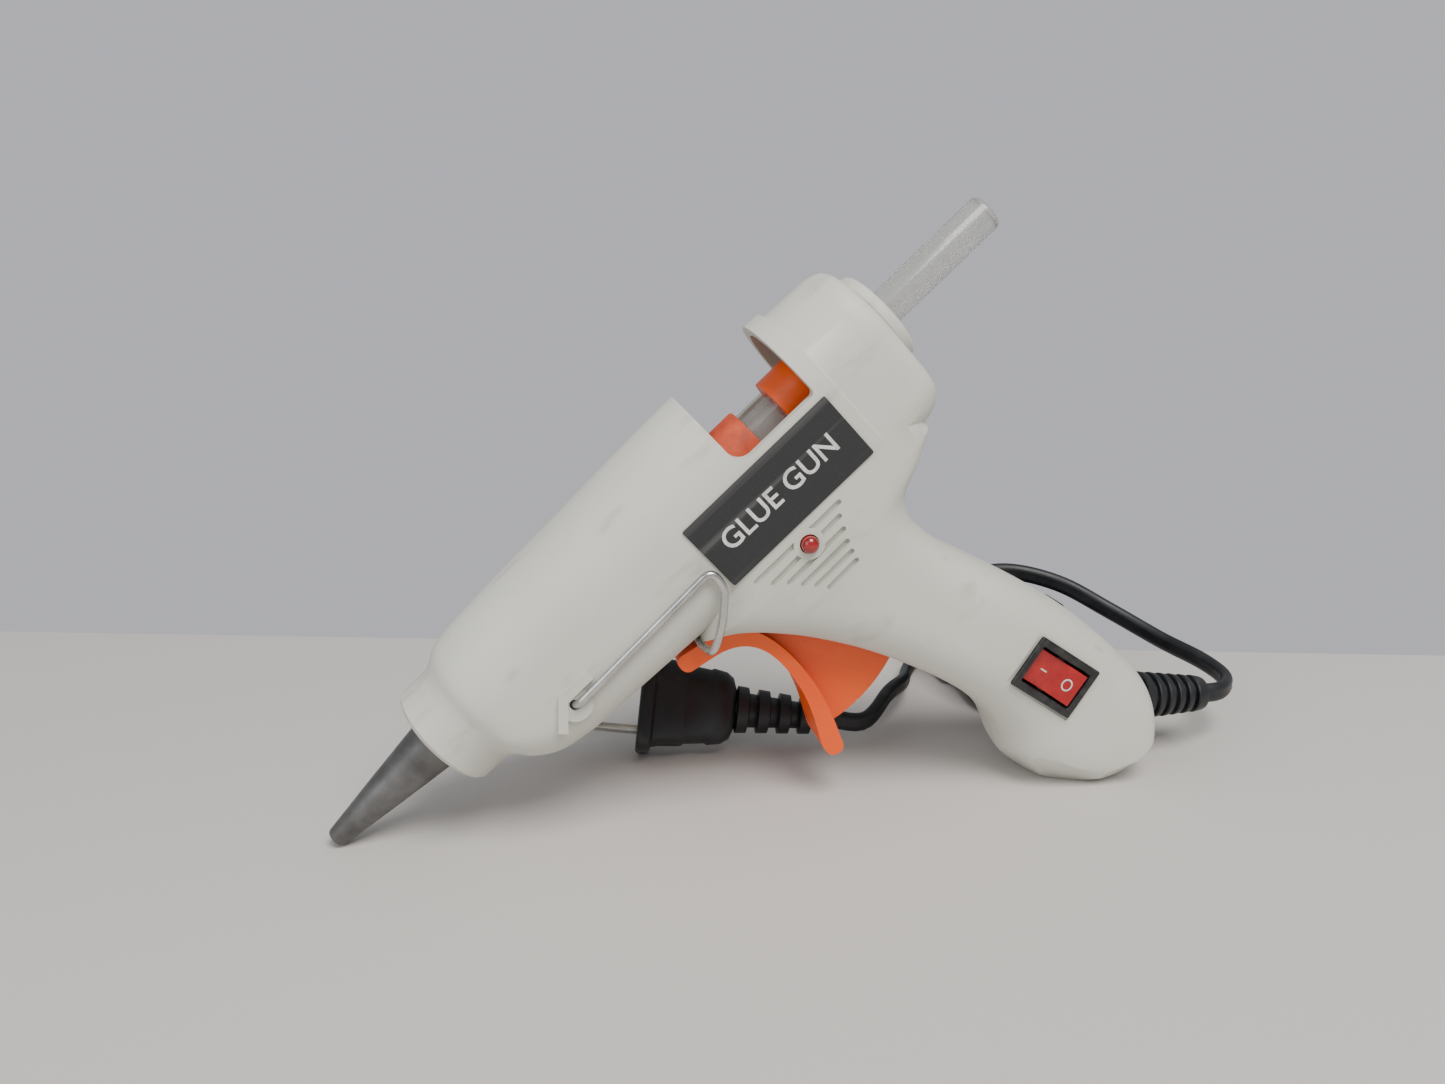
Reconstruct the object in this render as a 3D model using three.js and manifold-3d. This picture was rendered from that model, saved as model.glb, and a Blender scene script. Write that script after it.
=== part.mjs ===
// Hand-held hot-melt glue gun for 7 mm sticks, standing on its nozzle tip and the heel of its grip.
// Millimetres, +Z up, nose towards -X, switch side towards -Y, parting plane of the casing at Y = 0.
// The gun is first built level: x runs from the nozzle tip (0) to the rear, y across and z up from the
// bore axis.
import * as THREE from "three";
import { mergeVertices } from "three/addons/utils/BufferGeometryUtils.js";
import Module from "manifold-3d";

const wasm = await Module();
wasm.setup();

// ---- driving dimensions ------------------------------------------------------------------
const STAND_ANGLE = 41.6; // slope of the bore axis above the table, degrees
const HALF_WIDTH = 13.3; // casing, parting plane to flat side
const WALL = 2.0; // casing wall
const GAP = 0.3; // between pieces that touch
const RUN = 0.17; // radial clearance of pins in their holes
const STICK_R = 3.55; // glue stick
const BORE_R = 3.85; // passages the stick slides through
const NOZZLE_TIP_R = 1.95;
const NOZZLE_BASE_R = 5.3;
const COLLAR_X = 27.8; // front face of the casing collar
const COLLAR_R = 10.9;
const SHOULDER_X = 34.6; // where the collar meets the barrel
const WINDOW_X0 = 101.7; // front edge of the open window
const WINDOW_X1 = 119.6; // its rear edge, the hood's rim
const WINDOW_Z = 1.5; // height of its side edges
const HOOD_STEP_X = 123.3;
const REAR_X = 137.0; // back of the hood
const CHAMBER_R = 5.9;
const CHAMBER_X0 = 33.0;
const SPIGOT_X0 = 74.2;
const SPIGOT_X1 = 82.0;
const SPIGOT_R = 4.6;
const SLEEVE_R = 6.0;
const SLEEVE_X1 = 107.6;
const RING_X0 = 114.3; // feeder ring
const RING_LENGTH = 8.0;
const RING_R = 6.45;
const STICK_X0 = 46.5;
const STICK_X1 = 166.0;
const PIVOT = [87.0, -22.5]; // trigger pin, x and z
const PIVOT_R = 1.5;
const TRIGGER_REACH = 30.3; // pin to the edge of the trigger's side plate
const TRIGGER_HALF = 5.5; // half width of the finger blade
const SLOT_HALF = 6.3; // half width of the slot it swings in
const ARM = 12.0; // trigger pin to link pin
const ARM_LEAN = 10; // degrees the arm leans back at rest, half of the pull
const LINK_PIN_R = 1.1;
const LINK_LENGTH = 28.9;
const BAIL_PIVOT = [52.0, -8.9];
const BAIL_R = 0.75;
const LED_AT = [101.2, -17.7];
const LED_R = 1.6;
const LABEL = { x0: 86.6, x1: 120.4, z0: -13.5, z1: 0.2, thick: 0.2 };
const SWITCH_AT = [117.7, -72.6];
const SWITCH_TURN = 13.6; // degrees the switch leans with the grip
const SWITCH = { length: 15.0, width: 11.0, bodyLength: 13.0, bodyWidth: 8.8, deep: 12.0, rim: 1.3 };
const ROCKER_TILT = 9; // degrees each side of level
const SCREWS = [[44.6, -11.6], [127.2, -10.6], [111.0, -33.0], [123.0, -59.6], [110.0, -88.5]];
const BOSS_R = 2.7;
const RELIEF = { at: [162.3, 0, 13.4], dip: 4, root: 5.0, end: 3.6, neck: 3.5, length: 15.4 };
const CORD_R = 2.1;
const HANK = { x: 153.8, y: 42, long: 50, wide: 30, tall: 17, band: 8.4, lift: 1.2 };
const TIE = { wide: 7, thick: 0.8 };
const BLADE = { wide: 6.3, thick: 1.5, out: 15.5, apart: 12.7 };

const A = THREE.MathUtils.degToRad(STAND_ANGLE);
const LINK_PIN = [
  PIVOT[0] + ARM * Math.sin(THREE.MathUtils.degToRad(ARM_LEAN)),
  PIVOT[1] + ARM * Math.cos(THREE.MathUtils.degToRad(ARM_LEAN)),
];

// ---- solids ------------------------------------------------------------------------------
function solid(geometry) {
  const bare = new THREE.BufferGeometry();
  bare.setAttribute("position", geometry.getAttribute("position"));
  if (geometry.index) bare.setIndex(geometry.index);
  const g = mergeVertices(bare, 1e-4);
  const index = [];
  for (let i = 0; i < g.index.count; i += 3) {
    const [a, b, c] = [g.index.getX(i), g.index.getX(i + 1), g.index.getX(i + 2)];
    if (a !== b && b !== c && c !== a) index.push(a, b, c);
  }
  return new wasm.Manifold(
    new wasm.Mesh({
      numProp: 3,
      vertProperties: new Float32Array(g.attributes.position.array),
      triVerts: new Uint32Array(index),
    }),
  );
}

function geometryOf(manifold) {
  const m = manifold.getMesh();
  const g = new THREE.BufferGeometry();
  g.setAttribute("position", new THREE.BufferAttribute(new Float32Array(m.vertProperties), 3));
  g.setIndex(new THREE.BufferAttribute(new Uint32Array(m.triVerts), 1));
  return g;
}

const unite = (first, ...rest) => rest.reduce((s, t) => s.add(t), first);
const cut = (first, ...rest) => rest.reduce((s, t) => s.subtract(t), first);

// A closed skin over rings of equal point count, wound anticlockwise seen from the far end.
function skin(rings) {
  const n = rings[0].length;
  const points = rings.flat();
  const index = [];
  for (let i = 0; i + 1 < rings.length; i++) {
    for (let j = 0; j < n; j++) {
      const [a, b] = [i * n + j, i * n + ((j + 1) % n)];
      index.push(a, b, b + n, a, b + n, a + n);
    }
  }
  for (const [at, turn] of [[0, true], [rings.length - 1, false]]) {
    const ring = rings[at];
    const middle = ring.reduce((s, p) => s.add(p), new THREE.Vector3()).divideScalar(n);
    points.push(middle);
    for (let j = 0; j < n; j++) {
      const [a, b] = [at * n + j, at * n + ((j + 1) % n)];
      index.push(...(turn ? [points.length - 1, b, a] : [points.length - 1, a, b]));
    }
  }
  const g = new THREE.BufferGeometry().setFromPoints(points);
  g.setIndex(index);
  return g;
}

// Turned about the bore axis: profile is [x, radius] pairs, anticlockwise with x to the right.
function turned(profile, sides = 32) {
  const g = new THREE.LatheGeometry(profile.map(([x, r]) => new THREE.Vector2(r, x)), sides);
  return solid(g.rotateZ(-Math.PI / 2));
}

// A round bar across the gun, centred on (x, z), from y0 to y1.
function bar(x, z, r, y0, y1, sides = 16) {
  const g = new THREE.CylinderGeometry(r, r, y1 - y0, sides);
  return solid(g.translate(x, (y0 + y1) / 2, z));
}

function box(x0, x1, y0, y1, z0, z1) {
  const g = new THREE.BoxGeometry(x1 - x0, y1 - y0, z1 - z0);
  return solid(g.translate((x0 + x1) / 2, (y0 + y1) / 2, (z0 + z1) / 2));
}

// An outline in x and z, extruded across the gun from y0 to y1.
function plate(outline, y0, y1, segments = 6) {
  const shape = outline instanceof THREE.Shape
    ? outline
    : new THREE.Shape(outline.map(([x, z]) => new THREE.Vector2(x, z)));
  const g = new THREE.ExtrudeGeometry(
    shape, { depth: y1 - y0, bevelEnabled: false, curveSegments: segments },
  );
  return solid(g.rotateX(Math.PI / 2).translate(0, y1, 0));
}

function roundedBox(x0, x1, z0, z1, r) {
  const s = new THREE.Shape();
  s.moveTo(x0 + r, z0).lineTo(x1 - r, z0).quadraticCurveTo(x1, z0, x1, z0 + r);
  s.lineTo(x1, z1 - r).quadraticCurveTo(x1, z1, x1 - r, z1);
  s.lineTo(x0 + r, z1).quadraticCurveTo(x0, z1, x0, z1 - r);
  s.lineTo(x0, z0 + r).quadraticCurveTo(x0, z0, x0 + r, z0);
  return s;
}

// A round bar bent along points; radius may be one number or one per point.
function bent(points, radius, sides = 8) {
  const p = points.map((q) => new THREE.Vector3(...q));
  const way = p.map((q, i) => {
    const back = p[Math.max(i - 1, 0)];
    const ahead = p[Math.min(i + 1, p.length - 1)];
    return ahead.clone().sub(back).normalize();
  });
  let side = new THREE.Vector3(0.13, 0.37, 0.91).cross(way[0]).normalize();
  const rings = p.map((q, i) => {
    side = side.clone().addScaledVector(way[i], -side.dot(way[i])).normalize();
    const other = way[i].clone().cross(side);
    const r = Array.isArray(radius) ? radius[i] : radius;
    return Array.from({ length: sides }, (_, j) => {
      const t = (2 * Math.PI * j) / sides;
      return q.clone().addScaledVector(side, r * Math.cos(t)).addScaledVector(other, r * Math.sin(t));
    });
  });
  return skin(rings);
}

// Points along a smooth line through the given ones.
function smooth(points, count, tension = 0.5) {
  const curve = new THREE.CatmullRomCurve3(
    points.map((q) => new THREE.Vector3(...q)), false, "centripetal", tension,
  );
  return curve.getSpacedPoints(count).map((q) => q.toArray());
}

// Corners replaced by arcs of the given radius.
function rounded(points, radius, steps = 4) {
  const p = points.map((q) => new THREE.Vector3(...q));
  const out = [points[0]];
  for (let i = 1; i + 1 < p.length; i++) {
    const a = p[i - 1].clone().sub(p[i]);
    const b = p[i + 1].clone().sub(p[i]);
    const half = a.angleTo(b) / 2;
    const back = Math.min(radius / Math.tan(half), a.length() * 0.48, b.length() * 0.48);
    const start = p[i].clone().addScaledVector(a.normalize(), back);
    const end = p[i].clone().addScaledVector(b.normalize(), back);
    const arc = new THREE.QuadraticBezierCurve3(start, p[i], end);
    arc.getPoints(steps).forEach((q) => out.push(q.toArray()));
  }
  out.push(points[points.length - 1]);
  return out;
}

// ---- the level gun's outline -------------------------------------------------------------
// Barrel and hood sections: x, half width, height above the axis, depth below it, lower corner radius.
const BARREL = [
  [COLLAR_X, 10.2, 10.2, 10.2, 10.2],
  [COLLAR_X + 0.9, COLLAR_R, COLLAR_R, COLLAR_R, COLLAR_R],
  [SHOULDER_X, COLLAR_R, COLLAR_R, COLLAR_R, COLLAR_R],
  [SHOULDER_X + 1.6, 11.4, 11.6, 12.0, 10.6],
  [SHOULDER_X + 4.4, 12.8, 13.1, 14.2, 9.8],
  [SHOULDER_X + 8.4, HALF_WIDTH, 13.8, 16.2, 9.0],
  [50, HALF_WIDTH, 14.2, 17.4, 8.5],
  [74, HALF_WIDTH, 15.0, 18.2, 8.0],
  [98, HALF_WIDTH, 15.6, 19.5, 8.0],
  [HOOD_STEP_X - 0.4, HALF_WIDTH, 15.5, 19.5, 7.5],
  [HOOD_STEP_X, 13.0, 14.3, 19.0, 7.5],
  [REAR_X - 3.2, 13.0, 13.9, 17.6, 7.0],
  [REAR_X - 0.9, 12.3, 12.9, 16.6, 7.0],
  [REAR_X, 10.8, 11.2, 15.2, 6.5],
];
// Grip sections: height, front x, back x, and how square the section is.
const GRIP = [
  [-10.0, 84.0, 133.0, 5.0],
  [-19.0, 74.5, 133.5, 5.0],
  [-21.4, 78.3, 131.0, 4.6],
  [-25.0, 82.2, 121.6, 4.0],
  [-28.5, 85.1, 119.2, 3.6],
  [-32.3, 87.9, 118.6, 3.3],
  [-39.0, 92.1, 119.6, 3.1],
  [-46.0, 95.8, 122.0, 3.0],
  [-53.0, 98.8, 124.6, 3.0],
  [-60.0, 101.4, 127.0, 3.0],
  [-68.0, 103.4, 129.3, 3.0],
  [-76.0, 103.6, 130.8, 3.0],
  [-80.5, 102.3, 131.4, 3.0],
  [-84.5, 100.7, 131.8, 3.0],
  [-88.5, 101.0, 132.1, 3.0],
  [-92.3, 102.4, 131.9, 3.0],
  [-95.5, 104.6, 131.0, 3.0],
  [-98.6, 108.0, 129.2, 2.9],
  [-101.0, 111.0, 126.6, 2.8],
  [-101.6, 113.5, 124.5, 2.7],
];

function barrelRing([x, a, top, bottom, corner], grow) {
  const [w, t, b] = [a - grow, top - grow, bottom - grow];
  const r = Math.max(corner - grow, 1);
  const ring = [];
  for (let i = 0; i <= 14; i++) {
    const q = (Math.PI * i) / 14;
    ring.push(new THREE.Vector3(x, w * Math.cos(q), t * Math.sin(q)));
  }
  for (const [side, first] of [[-1, Math.PI], [1, 1.5 * Math.PI]]) {
    for (let i = 0; i <= 4; i++) {
      const q = first + (Math.PI / 2) * (i / 4);
      const lower = Math.min(r, b * 0.98);
      ring.push(new THREE.Vector3(x, side * (w - r) + r * Math.cos(q), -(b - lower) + lower * Math.sin(q)));
    }
  }
  return ring;
}

function gripRing([z, front, back, power], grow) {
  const half = HALF_WIDTH - grow;
  const [f, b] = [front + grow, back - grow];
  return Array.from({ length: 28 }, (_, i) => {
    const q = -(2 * Math.PI * i) / 28;
    const [c, s] = [Math.cos(q), Math.sin(q)];
    const x = (f + b) / 2 + ((b - f) / 2) * Math.sign(c) * Math.abs(c) ** (2 / power);
    return new THREE.Vector3(x, half * Math.sign(s) * Math.abs(s) ** (2 / power), z);
  });
}

function bodySolid(grow) {
  const barrel = BARREL.map((s) => barrelRing(s, grow));
  const grip = GRIP.map((s) => gripRing(s, grow));
  if (grow) {
    barrel.forEach((ring, i) => {
      const end = i === 0 ? grow : i === BARREL.length - 1 ? -grow : 0;
      ring.forEach((p) => p.setX(p.x + end));
    });
    grip[grip.length - 1].forEach((p) => p.setZ(p.z + grow));
    grip[grip.length - 2].forEach((p) => p.setZ(p.z + grow * 0.95));
    grip[grip.length - 3].forEach((p) => p.setZ(p.z + grow * 0.6));
  }
  return unite(solid(skin(barrel)), solid(skin(grip)));
}

// ---- casing ------------------------------------------------------------------------------
const across = HALF_WIDTH + 6;
const stand = new THREE.Matrix4().makeRotationY(-A);
const TIP_LIFT = NOZZLE_TIP_R * Math.cos(A); // the tip's lower edge rests on the table
stand.setPosition(0, 0, TIP_LIFT);
const level = stand.clone().invert();

let outer = bodySolid(0);
// The heel of the grip is flat where it meets the table.
const below = solid(new THREE.BoxGeometry(400, 100, 60).translate(100, 0, -30).applyMatrix4(level));
outer = outer.subtract(below);
let shell = outer.subtract(bodySolid(WALL));

const windowCut = new THREE.Shape();
windowCut.moveTo(WINDOW_X0, 30).lineTo(WINDOW_X0, WINDOW_Z + 3);
windowCut.quadraticCurveTo(WINDOW_X0, WINDOW_Z, WINDOW_X0 + 3, WINDOW_Z);
windowCut.lineTo(WINDOW_X1 - 1, WINDOW_Z).quadraticCurveTo(WINDOW_X1, WINDOW_Z, WINDOW_X1, WINDOW_Z + 1);
windowCut.lineTo(WINDOW_X1, 30);
const slot = [
  [70, -18.95], [66, -40], [78, -62], [103.5, -56.5], [102.8, -52], [98.5, -41], [93.5, -32],
  [88.5, -23.5], [85, -18.95],
];
shell = cut(
  shell,
  plate(windowCut, -across, across, 5),
  plate(slot, -SLOT_HALF, SLOT_HALF),
  turned([[COLLAR_X - 2, 0], [COLLAR_X - 2, 6.0], [COLLAR_X + 5, 6.0], [COLLAR_X + 5, 0]]),
  turned([[REAR_X - 5, 0], [REAR_X - 5, 6.7], [REAR_X + 2, 6.7], [REAR_X + 2, 0]]),
);

// Ribs that carry the melt chamber and the sleeve, and the floor under the feeder ring.
const inside = bodySolid(WALL - 0.2);
function ribAt(x, thick, holeR) {
  const slab = box(x, x + thick, -across, across, -14.6, 20);
  const hole = turned([[x - 1, 0], [x - 1, holeR], [x + thick + 1, holeR], [x + thick + 1, 0]]);
  return slab.intersect(inside).subtract(hole);
}
const trackFloor = box(WINDOW_X0 - 1, REAR_X - 1, -across, across, -8.3, -7.1).intersect(inside);
const lugSlot = box(WINDOW_X0 + 2, HOOD_STEP_X + 1, -2.8, 2.8, -12, -5);
shell = unite(
  shell,
  ribAt(38.2, 1.6, CHAMBER_R + GAP),
  ribAt(68.8, 1.6, CHAMBER_R + GAP),
  ribAt(WINDOW_X0 - 2.0, 1.6, SLEEVE_R + GAP),
  trackFloor.subtract(lugSlot),
);
// The rib behind the chamber gives way to its heater pad and wires, and the front one to the front screw.
shell = cut(shell, box(67, 72, -5.2, 5.2, -12, -1), box(98, 102, -6, 6, -15, -5.5));

const bosses = SCREWS.map(([x, z]) => bar(x, z, BOSS_R, -across, across).intersect(inside));
const pivotBoss = unite(
  bar(PIVOT[0], PIVOT[1], 3.2, -across, -3.5),
  bar(PIVOT[0], PIVOT[1], 3.2, 6.6, across),
).intersect(inside);
shell = unite(shell, ...bosses, pivotBoss);

// Around the wire stand's pivot, on both flat sides: a low round pad, and the angled rib that
// stops the legs.
for (const side of [-1, 1]) {
  const [bx, bz] = BAIL_PIVOT;
  const on = (thick) => (side < 0
    ? [-HALF_WIDTH - thick, -HALF_WIDTH + 0.6]
    : [HALF_WIDTH - 0.6, HALF_WIDTH + thick]);
  const stop = [[-5.7, -1.5], [-4.5, -2.8], [-0.4, 1.4], [5.8, 1.4], [5.8, 3.2], [-1.0, 3.2]];
  shell = unite(
    shell,
    plate(stop.map(([x, z]) => [bx + x, bz + z]), ...on(1.0)),
    bar(bx, bz, 3.2, ...on(0.35)),
  );
}

// Grooves of the grille below the label, on the switch side.
const GROOVES = [
  [89.8, -16.0, 110.0, -15.8], [91.8, -18.4, 108.4, -17.8], [93.9, -20.4, 107.4, -20.1],
  [95.5, -22.5, 106.4, -22.3], [97.1, -24.4, 105.8, -24.3], [98.5, -26.4, 105.3, -26.2],
];
for (const [x0, z0, x1, z1] of GROOVES) {
  const groove = box(
    x0, x1, -HALF_WIDTH - 2, -HALF_WIDTH + 0.55, (z0 + z1) / 2 - 0.45, (z0 + z1) / 2 + 0.45,
  );
  const keep = bar(LED_AT[0], LED_AT[1], 2.9, -HALF_WIDTH - 3, -HALF_WIDTH + 2);
  shell = shell.subtract(groove.subtract(keep));
}

// Holes: lamp, wire stand, trigger pin, screws with sunk heads, switch and lead.
const turnSwitch = new THREE.Matrix4().makeRotationY(-THREE.MathUtils.degToRad(SWITCH_TURN));
turnSwitch.setPosition(SWITCH_AT[0], 0, SWITCH_AT[1]);
const inSwitch = (manifold) => solid(geometryOf(manifold).applyMatrix4(turnSwitch));
const bw = SWITCH.bodyWidth / 2 + GAP;
const bl = SWITCH.bodyLength / 2 + GAP;
const rw = SWITCH.width / 2 + 0.45;
const rl = SWITCH.length / 2 + 0.45;
const switchHole = inSwitch(unite(
  box(-bw, bw, -across, -6, -bl, bl),
  box(-rw, rw, -across, -HALF_WIDTH + 0.5, -rl, rl),
));
shell = cut(
  shell,
  bar(LED_AT[0], LED_AT[1], LED_R + 0.2, -across, -8),
  bar(BAIL_PIVOT[0], BAIL_PIVOT[1], BAIL_R + RUN + 0.1, -across, across, 12),
  bar(PIVOT[0], PIVOT[1], PIVOT_R + RUN, -9.4, 9.4),
  switchHole,
  ...SCREWS.map(([x, z]) => unite(
    bar(x, z, 1.2 + RUN, -9, across),
    bar(x, z, 2.5 + RUN, HALF_WIDTH - 2.6, across),
  )),
);

// Strain relief: leaves the heel of the grip towards +X, a little downhill. World frame.
const reliefFrame = new THREE.Matrix4().makeRotationY(THREE.MathUtils.degToRad(RELIEF.dip));
reliefFrame.setPosition(...RELIEF.at);
const reliefHole = turned([[-8, 0], [-8, RELIEF.neck + GAP], [4, RELIEF.neck + GAP], [4, 0]], 16);
const reliefSeat = turned([[0.1, 0], [0.1, RELIEF.root + 1.5], [6, RELIEF.root + 1.5], [6, 0]], 16);
const fromWorld = (manifold, frame) => solid(geometryOf(manifold).applyMatrix4(frame).applyMatrix4(level));
shell = shell.subtract(fromWorld(unite(reliefHole, reliefSeat), reliefFrame));

const half = (y0, y1) => box(-50, 300, y0, y1, -200, 200);
const leftShell = shell.subtract(half(-0.05, 60));
const rightShell = shell.subtract(half(-60, 0.05));

// ---- hot end -----------------------------------------------------------------------------
const shank = 3.2; // nozzle's rear end, inside the chamber
const nozzle = turned([
  [0, 0.8], [0, NOZZLE_TIP_R], [COLLAR_X - 1, NOZZLE_BASE_R], [CHAMBER_X0 - GAP, NOZZLE_BASE_R],
  [CHAMBER_X0 - GAP, shank], [40.5, shank], [40.5, 2.2], [26, 2.0], [6, 0.8], [0, 0.8],
], 24);
const collarRingR = COLLAR_R - WALL - 0.5;
const collarRing = turned([
  [30.3, NOZZLE_BASE_R + GAP], [30.3, collarRingR], [32.4, collarRingR], [32.4, NOZZLE_BASE_R + GAP],
  [30.3, NOZZLE_BASE_R + GAP],
], 24);
const chamberTube = turned([
  [CHAMBER_X0, shank + GAP], [CHAMBER_X0, CHAMBER_R], [SPIGOT_X0, CHAMBER_R],
  [SPIGOT_X0, SPIGOT_R], [SPIGOT_X1, SPIGOT_R], [SPIGOT_X1, BORE_R], [42, BORE_R],
  [41, shank + GAP], [CHAMBER_X0, shank + GAP],
], 24);
const PAD_Z = -6.1; // underside of the heater pad
const pad = cut(
  box(55.5, SPIGOT_X0 - 0.4, -3.9, 3.9, PAD_Z, -2),
  turned([[50, 0], [50, BORE_R + 0.4], [80, BORE_R + 0.4], [80, 0]], 24),
);
const meltChamber = chamberTube.add(pad);
const heater = box(56.2, 72.8, -3.5, 3.5, PAD_Z - GAP - 2.4, PAD_Z - GAP);
const clipInner = roundedBox(
  -CHAMBER_R - GAP, CHAMBER_R + GAP, PAD_Z - 2 * GAP - 2.4, CHAMBER_R + GAP, 3.6,
);
const clipOuter = roundedBox(
  -CHAMBER_R - GAP - 0.6, CHAMBER_R + GAP + 0.6, PAD_Z - 2 * GAP - 3.0, CHAMBER_R + GAP + 0.6, 4.0,
);
clipOuter.holes.push(new THREE.Path(clipInner.getPoints(5)));
const heaterClip = solid(
  new THREE.ExtrudeGeometry(clipOuter, { depth: 6, bevelEnabled: false, curveSegments: 5 })
    .applyMatrix4(new THREE.Matrix4().makeBasis(
      new THREE.Vector3(0, 1, 0), new THREE.Vector3(0, 0, 1), new THREE.Vector3(1, 0, 0),
    ))
    .translate(60, 0, 0),
);
const inletSleeve = turned([
  [SPIGOT_X0 + GAP, SPIGOT_R + GAP], [SPIGOT_X0 + GAP, 7.0], [SPIGOT_X1, 7.0],
  [SPIGOT_X1 + 2.4, SLEEVE_R], [SLEEVE_X1, SLEEVE_R], [SLEEVE_X1, BORE_R],
  [SPIGOT_X1 + 1.2, BORE_R], [SPIGOT_X1 + GAP, SPIGOT_R + GAP], [SPIGOT_X0 + GAP, SPIGOT_R + GAP],
], 28);

// ---- feed --------------------------------------------------------------------------------
const ringX1 = RING_X0 + RING_LENGTH;
const B_PIN = [LINK_PIN[0] + LINK_LENGTH, LINK_PIN[1]];
const feederRing = cut(
  unite(
    turned(
      [
        [RING_X0, BORE_R], [RING_X0, 5.6], [RING_X0 + 0.8, RING_R], [ringX1 - 0.8, RING_R],
        [ringX1, 5.6], [ringX1, BORE_R], [RING_X0, BORE_R],
      ],
      28,
    ),
    box(B_PIN[0] - 2.5, B_PIN[0] + 2.5, -2.2, 2.2, B_PIN[1] - 2.4, -5.2),
  ),
  bar(B_PIN[0], B_PIN[1], LINK_PIN_R + 0.35, -4, 4, 12),
);
const linkBar = unite(
  plate(
    [
      [LINK_PIN[0] - 2.1, LINK_PIN[1] - 1.7], [B_PIN[0] + 1.9, LINK_PIN[1] - 1.7],
      [B_PIN[0] + 1.9, LINK_PIN[1] + 1.7], [LINK_PIN[0] - 2.1, LINK_PIN[1] + 1.7],
    ],
    2.9, 4.3,
  ),
  bar(LINK_PIN[0], LINK_PIN[1], LINK_PIN_R, -2.9, 3.2, 12),
  bar(B_PIN[0], B_PIN[1], LINK_PIN_R, -2.6, 3.2, 12),
);
const glueStick = turned(
  [
    [STICK_X0, 0], [STICK_X0, 2.4], [STICK_X0 + 2.2, STICK_R], [STICK_X1 - 0.5, STICK_R],
    [STICK_X1, STICK_R - 0.4], [STICK_X1, 0],
  ],
  24,
);
const rearBush = turned([
  [REAR_X - 2.8, BORE_R], [REAR_X - 2.8, 6.3], [REAR_X + GAP, 6.3], [REAR_X + GAP, 9.3],
  [REAR_X + 1.9, 9.3], [REAR_X + 2.6, 8.6], [REAR_X + 2.6, BORE_R], [REAR_X - 2.8, BORE_R],
], 32);

// ---- trigger -----------------------------------------------------------------------------
// Finger blade: front face from the toe to the tip, then back up its rear face.
const blade = new THREE.Shape();
blade.moveTo(68.2, -20.6).quadraticCurveTo(67.9, -22.6, 69.4, -23.0);
blade.lineTo(74.6, -24.1).bezierCurveTo(79.6, -25.3, 81.9, -28.6, 82.0, -34.0);
blade.bezierCurveTo(82.0, -41.5, 79.6, -46.5, 76.4, -52.6).quadraticCurveTo(74.9, -56.6, 77.9, -56.9);
blade.quadraticCurveTo(79.2, -57.0, 79.9, -54.6).bezierCurveTo(82.6, -48.5, 84.6, -41.5, 84.4, -34.5);
blade.bezierCurveTo(84.4, -29.5, 83.0, -24.6, 80.4, -22.6).lineTo(78.4, -21.2).lineTo(70.0, -19.35);
blade.quadraticCurveTo(68.4, -19.2, 68.2, -20.6);
const reachFrom = Math.atan2(-50.4 - PIVOT[1], 98.7 - PIVOT[0]);
const reachTo = Math.atan2(-52.2 - PIVOT[1], 81.2 - PIVOT[0]);
const side = new THREE.Shape();
side.moveTo(79.6, -22.2).lineTo(83.4, -27.0).lineTo(84.0, -34.5).lineTo(83.3, -42.0).lineTo(80.6, -51.6);
for (let i = 0; i <= 6; i++) {
  const q = reachTo + ((reachFrom - reachTo) * i) / 6;
  side.lineTo(PIVOT[0] + TRIGGER_REACH * Math.cos(q), PIVOT[1] + TRIGGER_REACH * Math.sin(q));
}
side.lineTo(92.6, -24.0).lineTo(90.6, -18.5);
side.lineTo(LINK_PIN[0] + 2.5, LINK_PIN[1] + 0.2).lineTo(LINK_PIN[0] + 1.6, LINK_PIN[1] + 2.1);
side.lineTo(LINK_PIN[0] - 1.6, LINK_PIN[1] + 2.1).lineTo(LINK_PIN[0] - 2.5, LINK_PIN[1] + 0.2);
side.lineTo(83.6, -19.6);
const trigger = cut(
  unite(
    plate(blade, -TRIGGER_HALF, TRIGGER_HALF, 7),
    plate(side, -2.5, 2.5),
    bar(PIVOT[0], PIVOT[1], 4.0, -3.1, 3.1),
  ),
  bar(PIVOT[0], PIVOT[1], PIVOT_R + RUN, -9, 9),
  bar(LINK_PIN[0], LINK_PIN[1], LINK_PIN_R + RUN, -5, 5, 12),
);
const triggerPin = bar(PIVOT[0], PIVOT[1], PIVOT_R, -9.1, 9.1);
const springR = 2.75;
const coil = Array.from({ length: 34 }, (_, i) => {
  const q = Math.PI * (1 + (6.5 * i) / 33);
  return [PIVOT[0] + springR * Math.cos(q), 3.95 + (2.0 * i) / 33, PIVOT[1] + springR * Math.sin(q)];
});
const returnSpring = solid(bent([
  [PIVOT[0] - springR, 3.85, PIVOT[1] + 5.2], ...coil, [PIVOT[0] + 6.6, 6.0, PIVOT[1] - springR],
], 0.35, 6));

// ---- wire stand, lamp, switch, label, screws ---------------------------------------------
const legY = HALF_WIDTH + 0.3 + BAIL_R + 0.3;
const [px, pz] = BAIL_PIVOT;
const leg = [[px + 33.6, -8.0], [px + 33.3, -12.2], [px + 28.2, -16.9], [px + 23.6, -19.6]];
const bailHalf = (s) => [
  [px, s * 4, pz], [px, s * legY, pz], ...leg.map(([x, z]) => [x, s * legY, z]),
  [px + 22.4, s * (legY - 5.0), -19.2],
];
const bailLine = rounded(
  [...bailHalf(-1).reverse(), ...bailHalf(1)].filter((q, i, all) => i !== all.length / 2), 1.8, 3,
);
const wireStand = solid(bent(bailLine, BAIL_R, 8));

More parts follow.
